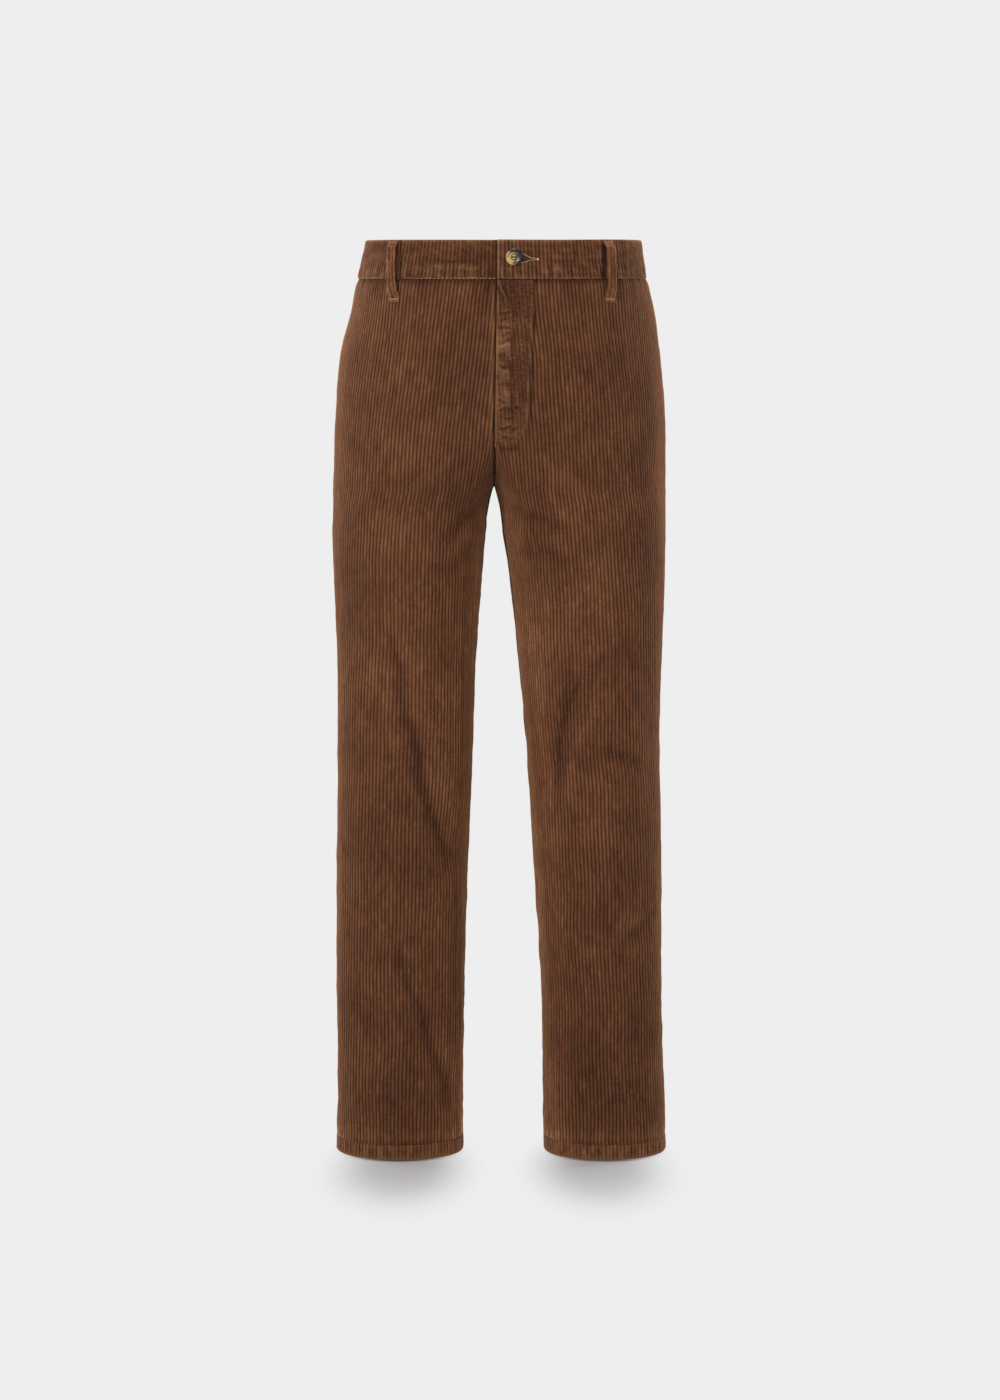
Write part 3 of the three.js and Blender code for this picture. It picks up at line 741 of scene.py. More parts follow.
def allowance(side, face, z, inner):
    """Points of the allowance at one end of a row, under the neighbour, or None where it has none."""
    if inner and z >= CROTCH:
        neighbour = ("right", face) if side == "left" else None
    else:
        neighbour = (side, "back") if face == "front" else None
    if neighbour is None:
        return None
    low, high = edges_at(*neighbour, z)
    reach = np.array(TUCKS) * (float(ease(abs(z - CROTCH) / 25)) if inner else 1.0)
    s = low + reach if inner else high - reach
    return plain_row(*neighbour, z, s) - outward_row(*neighbour, z, s) * TUCK_DEPTH


def panel(side, face):
    heights = panel_heights()
    ends = np.array([edges_at(side, face, z) for z in heights])
    first_column = math.floor(ends[:, 0].min() / COLUMN)
    last_column = math.ceil(ends[:, 1].max() / COLUMN)
    columns = np.arange(first_column, last_column + 1) * COLUMN
    tucks = len(TUCKS)
    main = slice(tucks, tucks + len(columns))
    points, grain = empty_grid(len(heights), len(columns) + 2 * tucks)
    tone = np.zeros(points.shape[:2])
    for i, z in enumerate(heights):
        s = np.clip(columns, ends[i, 0] + PANEL_EDGE_GAP, ends[i, 1] - PANEL_EDGE_GAP)
        points[i, main], wear_and_painted_light, shade = panel_row(side, face, z, s)
        grain[i, :, 1] = z / WALE
        grain[i, :, 2] = -1.0
        grain[i, main, 0] = s / WALE
        grain[i, main, 2] = wear_and_painted_light
        tone[i, main] = shade
        inner, outer = (allowance(side, face, z, end) for end in (True, False))
        points[i, :tucks] = points[i, tucks] if inner is None else inner[::-1]
        points[i, -tucks:] = points[i, -tucks - 1] if outer is None else outer
    bm = cloth_grid(points, grain, (side == "left") != (face == "front"), tone)
    piece = finished(f"{face}_panel_{side}", bm, [CORDUROY, BACKING])
    thicken(piece, CLOTH, 1)
    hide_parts(f"{face}_{side}")
    return piece


# The waistband and the hems are strips folded double, so their edges are round.

EDGE_STEPS = 7


def folded_profile(top, bottom, thickness, proud, rows):
    """A strip's closed outline: height, distance out from the plain surface, and how much pile it has."""
    radius = thickness / 2
    middle = proud - radius
    outline = [(z, proud, 1.0) for z in np.linspace(bottom + radius, top - radius, rows)]
    for angle in np.linspace(0, math.pi, EDGE_STEPS)[1:-1]:
        outline.append((top - radius + radius * math.sin(angle), middle + radius * math.cos(angle), 0.5))
    inner_rows = max(4, rows // 2)
    outline += [(z, proud - thickness, 0.0) for z in np.linspace(top - radius, bottom + radius, inner_rows)]
    for angle in np.linspace(math.pi, 2 * math.pi, EDGE_STEPS)[1:-1]:
        outline.append((bottom + radius + radius * math.sin(angle), middle + radius * math.cos(angle), 0.5))
    return outline + outline[:1]


PATH_STEPS = 260


def waist_path(side, z):
    """The plain surface from the centre front round the side to the centre back, at one height."""
    xs, ys = [], []
    for face, direction in (("front", 1), ("back", -1)):
        x, y, arc, first, last = section_line(side, face, z)
        s = np.linspace(first, last, PATH_STEPS)[::direction]
        xs.append(np.interp(s, arc, x))
        ys.append(np.interp(s, arc, y))
    x, y = np.concatenate(xs), np.concatenate(ys)
    keep = np.concatenate([[True], np.hypot(np.diff(x), np.diff(y)) > 1e-4])
    x, y = x[keep], y[keep]
    return x, y, run_of(x, y)


def on_path(path, distance, sign):
    """Points and level outward directions along a path. Below nought it runs on across the front."""
    x, y, arc = path
    inside = np.clip(distance, 0, arc[-1])
    beyond = distance - inside
    px = np.interp(inside, arc, x) + sign * beyond
    py = np.interp(inside, arc, y)
    step = 1.5
    ax, ay = np.interp(inside - step, arc, x), np.interp(inside - step, arc, y)
    bx, by = np.interp(inside + step, arc, x), np.interp(inside + step, arc, y)
    normal = np.stack([(by - ay) * sign, -(bx - ax) * sign], axis=1)
    normal /= np.linalg.norm(normal, axis=1, keepdims=True)
    return np.stack([px, py], axis=1), normal


# The narrow shadows where the loops stand off the band: their middle, their width, and -1 for the front
LOOP_SHADES = [
    (-111.2, 1.8, -1),
    (116.6, 4.4, -1),
    (-96.6, 1.8, 1),
    (110.6, 2.2, 1),
    (4.6, 1.8, 1),
]

BAND = {"thickness": 3.0, "proud": 0.5, "rows": 17}
BAND_STITCH_Z = -20.2
UNDERLAP = {"reach": 38.0, "ease": 18.0}
HEM = {"thickness": 2.9, "proud": 0.35, "rows": 9}
HEM_SEEDS = {"right": 31, "left": 37}


# Creases along the band: its half, where it starts and ends along it, its height at both, and its depth
BAND_CREASES = [
    ["right", 17, -3.0, 76, -1.0, 0.9],
    ["right", 88, 10.0, 108, 11.5, 0.5],
    ["left", 52, -4.5, 92, -2.5, 0.5],
    ["left", 128, -4.0, 160, -6.0, 0.6],
    ["right", 236, 2.0, 300, -1.0, 0.7],
    ["left", 244, 0.0, 306, 3.0, 0.7],
]


def crease_at(side, along, z):
    depth = np.zeros(len(along))
    for half, start, z_start, end, z_end, deep in BAND_CREASES:
        if half == side:
            share = np.clip((along - start) / (end - start), 0, 1)
            line = z_start + (z_end - z_start) * share + 0.8 * np.sin(along * 0.2)
            ends = ease((along - start) / 10) * ease((end - along) / 10)
            depth += deep * ends * bell(z - line, 1.7)
    return depth


def waistband(side):
    sign = SIGN[side]
    middle_length = waist_path(side, 0.0)[2][-1]
    start = 0.0 if side == "left" else -UNDERLAP["reach"]
    count = round((middle_length - start) / COLUMN)
    along = np.linspace(start, middle_length, count + 1)
    profile = folded_profile(BAND_TOP, BAND_SEAM + SEAM_HALF_GAP, **BAND)
    points, grain = empty_grid(len(profile), len(along))
    full_sink = BAND["thickness"] + 2 * SEAM_HALF_GAP
    middle = BAND["proud"] - BAND["thickness"] / 2
    seed = 5 if side == "left" else 8
    for i, (z, out, pile) in enumerate(profile):
        path = waist_path(side, z)
        distance = np.where(along > 0, along * path[2][-1] / middle_length, along)
        place, normal = on_path(path, distance, sign)
        end = np.minimum(along - start, middle_length - along)
        rounding = np.sqrt(np.clip(1 - (1 - np.clip(end / 1.6, 0, 1)) ** 2, 0, 1))
        sink = np.zeros(len(along))
        if side == "right":
            sink = full_sink * (1 - ease((along - 1) / UNDERLAP["ease"]))
        crease = crease_at(side, along, z)
        groove = 0.4 * bell(z - BAND_STITCH_Z, 1.1) + crease * pile
        relief = pile * wales(along)
        waves = 0.4 * ripple(along * 0.05, z * 0.09, seed)
        waves += 0.4 * ripple(along * 0.13, z * 0.4, seed + 2) * pile
        puckers = 0.35 * ripple(along * 0.9, z * 0.05, seed + 3)
        waves += puckers * bell(z - BAND_SEAM - 7, 10) * pile
        if side == "left":
            waves += 0.9 * bell(along, 7)
        lift = middle + (out - middle) * rounding
        lift = lift + (relief - groove * (out > 0)) * rounding + waves - sink
        height = z + 0.35 * ripple(along * 0.03, np.zeros(len(along)), seed + 1)
        points[i] = np.concatenate([place + normal * lift[:, None], height[:, None]], axis=1)
        # Worn top and bottom edges, painted shade in the creases and a painted highlight below each crease
        wear_and_painted_light = 0.45 * bell(z - BAND_TOP, 2.0) + 0.2 * bell(z - BAND_SEAM - 1, 1.6) - 0.7 * crease
        wear_and_painted_light += 0.45 * crease_at(side, along, z + 7)
        wear_and_painted_light += 0.1 * ripple(along * 0.16, z * 0.3, seed + 4)
        wear_and_painted_light += 0.2 * ripple(along * 0.7, z * 0.6, seed + 6)
        # Painted light on the puckers: lighter where they rise
        wear_and_painted_light += puckers * bell(z - BAND_SEAM - 7, 9)
        if side == "left":
            wear_and_painted_light += 0.8 * bell(along - 0.8, 1.3)
        else:
            # Painted shade where the band's end runs under the other half
            wear_and_painted_light -= 0.8 * bell(along - 0.5, 2.2)
        for shade_x, width, face in LOOP_SHADES:
            shade = ease((width / 2 + 0.8 - abs(place[:, 0] - shade_x)) / 1.6)
            wear_and_painted_light -= 0.9 * shade * (np.sign(place[:, 1]) == face)
        grain[i] = grain_row(along, z, wear_and_painted_light)
    points[-1] = points[0]
    bm = cloth_grid(points, grain)
    bmesh.ops.recalc_face_normals(bm, faces=bm.faces)
    piece = finished(f"waistband_piece_{side}", bm, [CORDUROY_BAND])
    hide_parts(f"waistband_{side}")
    return piece


def hem(side):
    """A turned-up hem: the front from inseam to side seam, then the back to the inseam again."""
    profile = folded_profile(HEM_SEAM - SEAM_HALF_GAP, HEM_EDGE, **HEM)
    seed = HEM_SEEDS[side]
    spans = []
    for face in ("front", "back"):
        first, last = edges_at(side, face, HEM_EDGE)
        columns = np.arange(math.ceil(first / COLUMN), math.floor(last / COLUMN) + 1) * COLUMN
        columns = np.concatenate([[first], columns, [last]])
        spans.append((face, columns if face == "front" else columns[::-1], first, last))
    total = sum(len(span[1]) for span in spans)
    points, grain = empty_grid(len(profile), total)
    for i, (z, out, pile) in enumerate(profile):
        at = 0
        for face, columns, first, last in spans:
            low, high = edges_at(side, face, z)
            s = low + (columns - first) * (high - low) / (last - first)
            base = plain_row(side, face, z, s)
            normal = outward_row(side, face, min(max(z, HEM_EDGE + 2), HEM_SEAM), s)
            normal[:, 2] = 0
            normal /= np.linalg.norm(normal, axis=1, keepdims=True)
            seam = np.minimum(columns - first, last - columns)
            relief = pile * wales(columns) * (1 - 0.7 * bell(seam, 2.0))
            pucker = 0.3 * ripple(columns * 0.95, z * 0.05, seed)
            pucker += 0.25 * ripple(columns * 0.4, z * 0.2, seed + 3)
            pucker = pucker * bell(z - HEM_SEAM + 9, 10)
            lift = out + relief + pucker - 0.7 * bell(seam, 2.0) * pile
            rows = slice(at, at + len(s))
            points[i, rows] = base + normal * lift[:, None]
            points[i, rows, 2] = z + 0.5 * ripple(base[:, 0] * 0.03, base[:, 1] * 0.03, seed + 1)
            broken = 0.5 + 0.5 * ripple(base[:, 0] * 0.12, base[:, 1] * 0.12, seed + 2)
            # A worn folded edge, painted shade along the seam line and painted light on the puckers,
            # lighter where they rise
            wear_and_painted_light = 0.5 * bell(z - HEM_EDGE, 3.2) - 0.45 * broken * bell(z - HEM_SEAM, 1.3)
            wear_and_painted_light += 0.9 * pucker * bell(z - HEM_SEAM + 8, 10)
            grain[i, rows] = grain_row(columns, z, wear_and_painted_light)
            at += len(s)
    points[-1] = points[0]
    points = np.concatenate([points, points[:, :1]], axis=1)
    grain = np.concatenate([grain, grain[:, :1]], axis=1)
    bm = cloth_grid(points, grain)
    bmesh.ops.recalc_face_normals(bm, faces=bm.faces)
    piece = finished(f"hem_piece_{side}", bm, [CORDUROY_HEM])
    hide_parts(f"hem_{side}")
    return piece


# Short creases across the fly: the height, the start and end from the centre, the rise and the depth
FLY_CREASES = [
    [-60, 2, 16, 1.5, 0.7],
    [-66, 3, 15, -0.8, 0.5],
    [-76, 1, 18, 1.0, 0.7],
    [-83, 5, 15, 2.0, 0.4],
    [-97, 2, 17, 3.4, -0.8],
    [-106, 2, 12, 1.0, 0.4],
    [-119, 1, 17, -1.0, 0.6],
    [-126, 6, 15, 1.4, -0.4],
    [-140, 2, 18, 2.6, 0.5],
    [-157, 3, 13, -1.2, 0.4],
    [-167, 1, 33, 2.5, 0.9],
    [-176, 4, 26, -1.5, 0.6],
    [-188, 3, 28, 1.2, 0.9],
    [-199, 6, 22, 0.8, 0.4],
]


def fly_creases(across, z):
    """How deep the crosswise creases are along one row of the fly."""
    depth = np.zeros(len(across))
    for number, (height, start, end, rise, deep) in enumerate(FLY_CREASES):
        share = (across - start) / (end - start)
        line = height + rise * share + 0.9 * np.sin(across * 0.5 + 2.1 * number)
        ends = ease(share * 4) * ease((1 - share) * 4)
        depth += deep * ends * bell(z - line, 1.7)
    return depth


ZIP_X = 19.5


def fly():
    """The J-shaped placket on the left front, with its puckers."""
    straight = np.linspace(BAND_SEAM - 0.3, FLY_TURN, 100)[:-1]
    curve = FLY_TURN + (FLY_BOTTOM - FLY_TURN) * np.sin(np.linspace(0, math.pi / 2, 40)[:-1])
    heights = np.concatenate([straight, curve])
    columns = np.arange(0, round(FLY_WIDTH / COLUMN) + 2) * COLUMN
    points, grain = empty_grid(len(heights), len(columns))
    widths = []
    for i, z in enumerate(heights):
        first, _ = edges_at("left", "front", z)
        edge = float(fly_edge(z)) + 0.4 * float(ripple(z * 0.13, 0.0, 97))
        across = np.clip(columns, 0.0, edge)
        s = first + PANEL_EDGE_GAP + across
        base = plain_row("left", "front", z, s)
        normal = outward_row("left", "front", z, s)
        inside = np.minimum(edge - across, (z - FLY_BOTTOM) * 1.2)
        lift = -0.75 + 1.25 * ease(inside / 3.2)
        lift = lift - 0.9 * bell(across, 1.0) - 0.8 * bell(BAND_SEAM - z, 1.6)
        zip_line = bell(across - ZIP_X, 1.7) * ease((-40 - z) / 25) * ease((z + 196) / 12)
        lift -= 1.3 * zip_line
        strip = ease((18 - across) / 4) * ease((-62 - z) / 20) * ease((z + 180) / 20)
        pucker = 0.3 * ripple(across * 0.16, z * 0.42, 3) + 0.3 * ripple(across * 0.3, z * 0.75, 7)
        crease = fly_creases(across, z)
        lift = lift + 0.7 * strip * pucker - crease
        lift += 0.6 * ripple(across * 0.10, z * 0.11, 17) * ease(inside / 6)
        pulled = bell(inside - 4.5, 4.0)
        lift = lift + 0.45 * pulled * ripple(z * 0.42, across * 0.1, 19) - 0.5 * bell(inside - 3.4, 1.3)
        relief = WALE_LOW + WALE_HEIGHT * wale_height(s) * (1 - 0.45 * strip)
        lightening = 0.32 + 0.4 * ripple(z * 0.17, 0 * across, 93)
        wear_and_painted_light = lightening * bell(inside - 2.6, 1.4) * ease((z + 192) / 30)
        # Painted shade at the fly's edge
        wear_and_painted_light -= (0.6 + 0.3 * ripple(z * 0.3, 0 * across, 98)) * bell(inside, 1.2)
        wear_and_painted_light += (0.4 + 0.25 * ripple(z * 0.1, 0 * across, 95)) * bell(across - 1.0, 1.2)
        wear_and_painted_light += 0.2 * strip
        gouge = bell(across - 6 + (z + 42) * 0.45, 1.3) + bell(across - 12 + (z + 40) * 0.45, 1.2)
        gouge = (gouge - 0.6 * bell(across - 9 + (z + 41) * 0.45, 1.2)) * bell(z + 36, 9)
        lift -= 1.3 * gouge
        # Painted shade in the gouges, in the creases and along the zip, and a painted highlight above each
        # crease
        wear_and_painted_light = wear_and_painted_light - 0.7 * gouge - 0.9 * crease + 0.3 * fly_creases(across, z - 2.7)
        wear_and_painted_light = wear_and_painted_light + 0.16 * ease((-172 - z) / 5) - 0.4 * zip_line
        wear_and_painted_light += 0.35 * ripple(across * 0.25, z * 0.35, 29) * (0.6 * strip + 0.7 * pulled)
        # Painted light on the puckers: lighter where they rise
        wear_and_painted_light += 0.38 * strip * pucker
        points[i] = base + normal * (lift + relief)[:, None]
        grain[i] = grain_row(s, z, wear_and_painted_light)
        widths.append(edge)
    bm = cloth_grid(points, grain)
    piece = finished("fly_placket", bm, [CORDUROY_FLY, BACKING])
    thicken(piece, FLY_CLOTH, 1)
    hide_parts("fly")
    widths = np.array(widths)
    return piece


# Belt loops

LOOP = {"width": 12.0, "cloth": 2.0, "top": 21.6, "bottom": -47.4, "length": 78.0, "wall": 1.5}
LOOP_DOWN = [0.0, 3.0, 7.0, 22.0, 40.0, 56.0, 62.0, 65.0, 69.0]
LOOP_STAND = [1.0, 2.0, 6.1, 6.6, 6.6, 6.1, 1.4, 0.4, 0.4]
LOOPS = [
    dict(zip(["name", "face", "top_x", "bottom_x"], row))
    for row in [
        ["loop_front_right", "front", -118.5, -118.0],
        ["loop_front_left", "front", 120.4, 122.7],
        ["loop_back_right", "back", -104.0, -106.0],
        ["loop_back_left", "back", 103.0, 105.0],
        ["loop_back_centre", "back", -3.5, -3.6],
    ]
]


def s_at_x(side, face, z, x):
    line_x, _, arc, _, _ = section_line(side, face, z)
    sign = SIGN[side]
    return float(np.interp(x * sign, line_x * sign, arc))


def spot_at_x(face, z, x):
    """The plain surface's point and level outward direction at a given x."""
    side = "left" if x > centre_x(z) else "right"
    s = np.array([s_at_x(side, face, z, x)])
    normal = outward_row(side, face, z, s)[0]
    normal[2] = 0
    return plain_row(side, face, z, s)[0], normal / np.linalg.norm(normal)


def belt_loop(place):
    face = place["face"]
    down = np.concatenate([np.linspace(0, 10, 9), np.linspace(10, 52, 16)[1:], np.linspace(52, 69, 15)[1:]])
    stand = np.interp(down, LOOP_DOWN, LOOP_STAND)
    stand = np.convolve(np.pad(stand, 1, mode="edge"), [0.25, 0.5, 0.25], mode="valid")
    half = LOOP["width"] / 2
    across = np.linspace(-half, half, 16)
    points, grain = empty_grid(len(down), len(across))
    wale = LOOP["width"] / 2.6
    number = LOOPS.index(place)
    crumple = ripple(across[None, :] * 0.5, down[:, None] * 0.4, 51 + number)
    wander = 0.5 * ripple(0 * down, down * 0.16, 61 + number)
    spread = 1 + 0.07 * ripple(0 * down, down * 0.3, 71 + number) + 0.12 * ease((down - 52) / 12)
    for i, drop in enumerate(down):
        z = LOOP["top"] - drop
        share = drop / (LOOP["top"] - LOOP["bottom"])
        middle_x = place["top_x"] + (place["bottom_x"] - place["top_x"]) * share
        _, normal = spot_at_x(face, z, middle_x)
        aside = np.array([-normal[1], normal[0], 0.0])
        for j, a in enumerate(across):
            root, _ = spot_at_x(face, z, middle_x + (a * spread[i] + wander[i]) * aside[0])
            crushed = float(crumple[i, j])
            wale_count = (a + half) / wale
            outer = abs(a) / half
            pile = 0.45 * wale_height(wale_count * WALE) + 0.3 * crushed
            lift = stand[i] + LOOP["cloth"] - 0.2 + pile - 0.9 * outer**5
            points[i, j] = root + normal * lift
            # Lighter edges and foot, and painted light on the crumples, lighter where they rise
            wear_and_painted_light = 0.3 * outer**4 + 0.3 * bell(z - LOOP["bottom"], 4.0) + 0.25 * crushed
            grain[i, j] = (wale_count + 3 * number, z / WALE, wear_and_painted_light)
    bm = cloth_grid(points, grain)
    piece = finished(f"{place['name']}_strip", bm, [CORDUROY_LOOP])
    thicken(piece, LOOP["wall"])
    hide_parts(place["name"])
    return piece


# The button and its thread

HOLE = {"radius": 1.0, "ring": 2.4}


def button_frame():
    """The button's own axes: its back is at nought and it faces out along +Z."""
    root, normal = spot_at_x("front", BUTTON["z"], BUTTON["x"])
    outward = Vector(normal)
    upward = Vector((0, 0, 1))
    aside = upward.cross(outward).normalized()
    turn = Matrix((aside, upward, outward)).transposed().to_4x4()
    base = Vector(root) + outward * (BAND["proud"] + BUTTON["stand"])
    return Matrix.Translation(base * MM) @ turn


def button():
    radius, thick, dish = BUTTON["radius"], BUTTON["thick"], BUTTON["dish"]
    profile = [
        (0.0, 0.0), (radius - 2.0, 0.0), (radius - 0.9, 0.35), (radius - 0.25, 1.0), (radius, 1.7),
        (radius - 0.15, 2.35), (radius - 0.6, 2.85), (radius - 1.3, 3.12), (radius - 2.1, thick),
        (radius - 2.8, 3.05), (dish, 2.7), (dish - 0.7, 2.35), (dish - 1.7, 2.2), (0.0, 2.2),
    ]
    bm = bmesh.new()
    verts = [bm.verts.new((r * MM, 0, z * MM)) for r, z in profile]
    edges = [bm.edges.new(pair) for pair in zip(verts, verts[1:])]
    bmesh.ops.spin(
        bm, geom=verts + edges, cent=(0, 0, 0), axis=(0, 0, 1), angle=2 * math.pi, steps=72, use_merge=True
    )
    bmesh.ops.remove_doubles(bm, verts=bm.verts, dist=0.001 * MM)
    bmesh.ops.recalc_face_normals(bm, faces=bm.faces)
    holes = bmesh.new()
    for k in range(4):
        angle = math.pi / 4 + k * math.pi / 2
        at = Vector((HOLE["ring"] * math.cos(angle), HOLE["ring"] * math.sin(angle), 1.2)) * MM
        bmesh.ops.create_cone(
            holes, cap_ends=True, segments=20, radius1=HOLE["radius"] * MM, radius2=HOLE["radius"] * MM,
            depth=6 * MM, matrix=Matrix.Translation(at),
        )
    blank = linked("button_blank", mesh_of("button_blank", bm))
    drill = linked("button_drill", mesh_of("button_drill", holes))
    cut = blank.modifiers.new("holes", "BOOLEAN")
    cut.object = drill
    cut.solver = "EXACT"
    result = bpy.data.meshes.new_from_object(blank.evaluated_get(bpy.context.evaluated_depsgraph_get()))
    bm = bmesh.new()
    bm.from_mesh(result)
    for work in (blank, drill):
        bpy.data.objects.remove(work)
    bm.transform(button_frame())
    piece = finished("button_disc", bm, [HORN])
    piece.data.set_sharp_from_angle(angle=math.radians(38))
    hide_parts("button")
    return piece


# Sewing

STITCH = {"length": 3.5, "gap": 1.1, "width": 0.62, "height": 0.5}
TACK_REACH = 1.9
LIP = {"reach": 1.15, "step": 0.5, "width": 0.55, "height": 0.6}
FLY_INSET = 3.2


def thread_run(points):
    """Distances along a sewn line from its start."""
    return np.concatenate([[0], np.cumsum(np.linalg.norm(np.diff(points, axis=0), axis=1))])


def on_run(distance, arc, points):
    """The point, or the direction, at a distance along a sewn line."""
    return np.array([np.interp(distance, arc, points[:, k]) for k in range(3)])


def split(spots):
    """The points and the directions of a line of spots."""
    return (np.array([spot[k] for spot in spots]) for k in (0, 1))


def one_stitch(bm, start, end, normal, width, height):
    """A stretched bead of thread between two points, in millimetres."""
    start, end = Vector(start), Vector(end)
    along = end - start
    length = along.length
    along.normalize()
    outward = Vector(normal)
    outward = (outward - along * outward.dot(along)).normalized()
    across = outward.cross(along)
    axes = Matrix((across * width / 2, outward * height / 2, along * length / 2)).transposed().to_4x4()
    place = Matrix.Translation((start + end) / 2 * MM) @ axes
    scale = Matrix.Scale(MM, 4)
    bmesh.ops.create_uvsphere(bm, u_segments=6, v_segments=5, radius=1.0, matrix=place @ scale)


def run_of_stitches(bm, points, normals, length=STITCH["length"], gap=STITCH["gap"], width=STITCH["width"]):
    """Stitches laid along a line of points."""
    arc = thread_run(points)
    starts = np.arange(gap / 2, arc[-1] - length, length + gap)
    for start in starts:
        first, last = on_run(start, arc, points), on_run(start + length, arc, points)
        normal = on_run(start + length / 2, arc, normals)
        one_stitch(bm, first, last, normal, width, STITCH["height"])


def satin(bm, points, normals, reach, step=0.6, width=0.6, height=0.55):
    """Close stitches laid side by side across a line of points."""
    arc = thread_run(points)
    wobble = np.random.default_rng(41)
    for at in np.arange(0, arc[-1], step):
        middle = on_run(at, arc, points)
        ahead = on_run(min(at + 0.5, arc[-1]), arc, points)
        behind = on_run(max(at - 0.5, 0), arc, points)
        normal = on_run(at, arc, normals)
        across = np.cross(normal, ahead - behind)
        across = across / np.linalg.norm(across) * (reach / 2 + wobble.uniform(-0.12, 0.12))
        one_stitch(bm, middle - across, middle + across, normal, width, height)


def sewn(name, bm, material, nodes):
    piece = finished(name, bm, [material])
    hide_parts(*nodes)
    return piece


def waist_stitches(side):
    sign = SIGN[side]
    z = BAND_STITCH_Z - 0.6
    path = waist_path(side, z)
    distance = np.linspace(0.8, path[2][-1] - 0.8, 500)
    place, normal = on_path(path, distance, sign)
    out = BAND["proud"] - 0.15
    points = np.concatenate([place + normal * out, np.full((len(place), 1), z)], axis=1)
    normals = np.concatenate([normal, np.zeros((len(place), 1))], axis=1)
    bm = bmesh.new()
    run_of_stitches(bm, points, normals, 2.9, 1.9, 1.0)
    # One thread in two colours: paler on the right half as painted light, darker on the left half as
    # painted shade
    thread = TAN_THREAD if side == "right" else BROWN_THREAD
    return sewn(f"band_stitches_{side}", bm, thread, [f"waistband_{side}"])


def hem_stitches(side):
    bm = bmesh.new()
    z = HEM_SEAM - 2.6
    for face in ("front", "back"):
        first, last = edges_at(side, face, z)
        s = np.linspace(first + 1, last - 1, 300)
        points = plain_row(side, face, z, s)
        normals = outward_row(side, face, z, s)
        run_of_stitches(bm, points + normals * (HEM["proud"] + 0.05), normals)
    return sewn(f"hem_stitches_{side}", bm, DARK_THREAD, [f"hem_{side}"])


def fly_spot(across, z):
    """A point on the fly's face and its outward direction."""
    first, _ = edges_at("left", "front", z)
    s = np.array([first + PANEL_EDGE_GAP + across])
    normal = outward_row("left", "front", z, s)[0]
    return plain_row("left", "front", z, s)[0] + normal * 0.75, normal


def fly_stitches():
    line = [fly_spot(float(fly_edge(z)) - FLY_INSET, z) for z in np.linspace(BAND_SEAM - 2, FLY_TURN, 60)]
    for angle in np.linspace(0, 0.97 * math.pi / 2, 40)[1:]:
        across = (FLY_TURN_WIDTH - FLY_INSET) * math.cos(angle) ** (2 / FLY_POWER)
        drop = (FLY_BOTTOM - FLY_TURN + FLY_INSET) * math.sin(angle) ** (2 / FLY_POWER)
        line.append(fly_spot(across, FLY_TURN + drop))
    bm = bmesh.new()
    run_of_stitches(bm, *split(line))
    return sewn("fly_stitches", bm, BROWN_THREAD, ["fly"])


def tacks():
    """Close bars of thread at the ends of the loops."""
    bm = bmesh.new()
    half = LOOP["width"] / 2 - 0.6
    for place in LOOPS:
        upper = (LOOP["top"] - 2.6, place["top_x"], 4.0)
        lower = (LOOP["bottom"] + 3.4, place["bottom_x"], 2.9)
        for z, x, stand in (upper, lower):
            line = []
            for offset in np.linspace(-half, half, 9):
                _, normal = spot_at_x(place["face"], z, x + offset)
                root, _ = spot_at_x(place["face"], z, x + offset * abs(normal[1]))
                line.append((root + normal * stand, normal))
            satin(bm, *split(line), TACK_REACH)
    return sewn("loop_tacks", bm, TAN_THREAD, [place["name"] for place in LOOPS])


def button_threads():
    """The shank under the button and the crossed stitches through its holes."""
    bm = bmesh.new()
    low, high = -BUTTON["stand"] - 0.9, 0.3
    bmesh.ops.create_cone(
        bm, cap_ends=True, segments=16, radius1=1.7 * MM, radius2=1.4 * MM, depth=(high - low) * MM,
        matrix=Matrix.Translation((0, 0, (low + high) / 2 * MM)),
    )
    reach = HOLE["ring"] * math.cos(math.pi / 4)
    up = Vector((0, 0, 1))
    for k in (-1, 1):
        for shift in (-0.3, 0.3):
            start, end = ((x, k * reach + shift, 2.35) for x in (-reach, reach))
            one_stitch(bm, start, end, up, STITCH["width"], 0.7)
        for other in (-1, 1):
            start = (k * reach, other * reach, 0.2)
            end = (k * reach * 0.92, other * reach, 2.5)
            one_stitch(bm, start, end, (1, 0, 0), 1.2, 1.2)
    bm.transform(button_frame())
    return sewn("button_threads", bm, CREAM_THREAD, ["button_thread"])


def band_spot(x, z):
    root, normal = spot_at_x("front", z, x)
    return root + normal * (BAND["proud"] + 0.1), normal


UPPER_LIP = [(22.5, 6.9), (25.8, 6.2), (29.5, 4.2), (33.5, 2.1), (36.9, 1.3), (43.6, 0.7)]
LOWER_LIP = [(23.5, -3.3), (26.9, -2.6), (30.5, -1.5), (33.5, -0.6), (36.9, -0.2), (43.6, 0.1)]


GAP = {"start": 22.5, "length": 19, "columns": 14, "rows": 5}


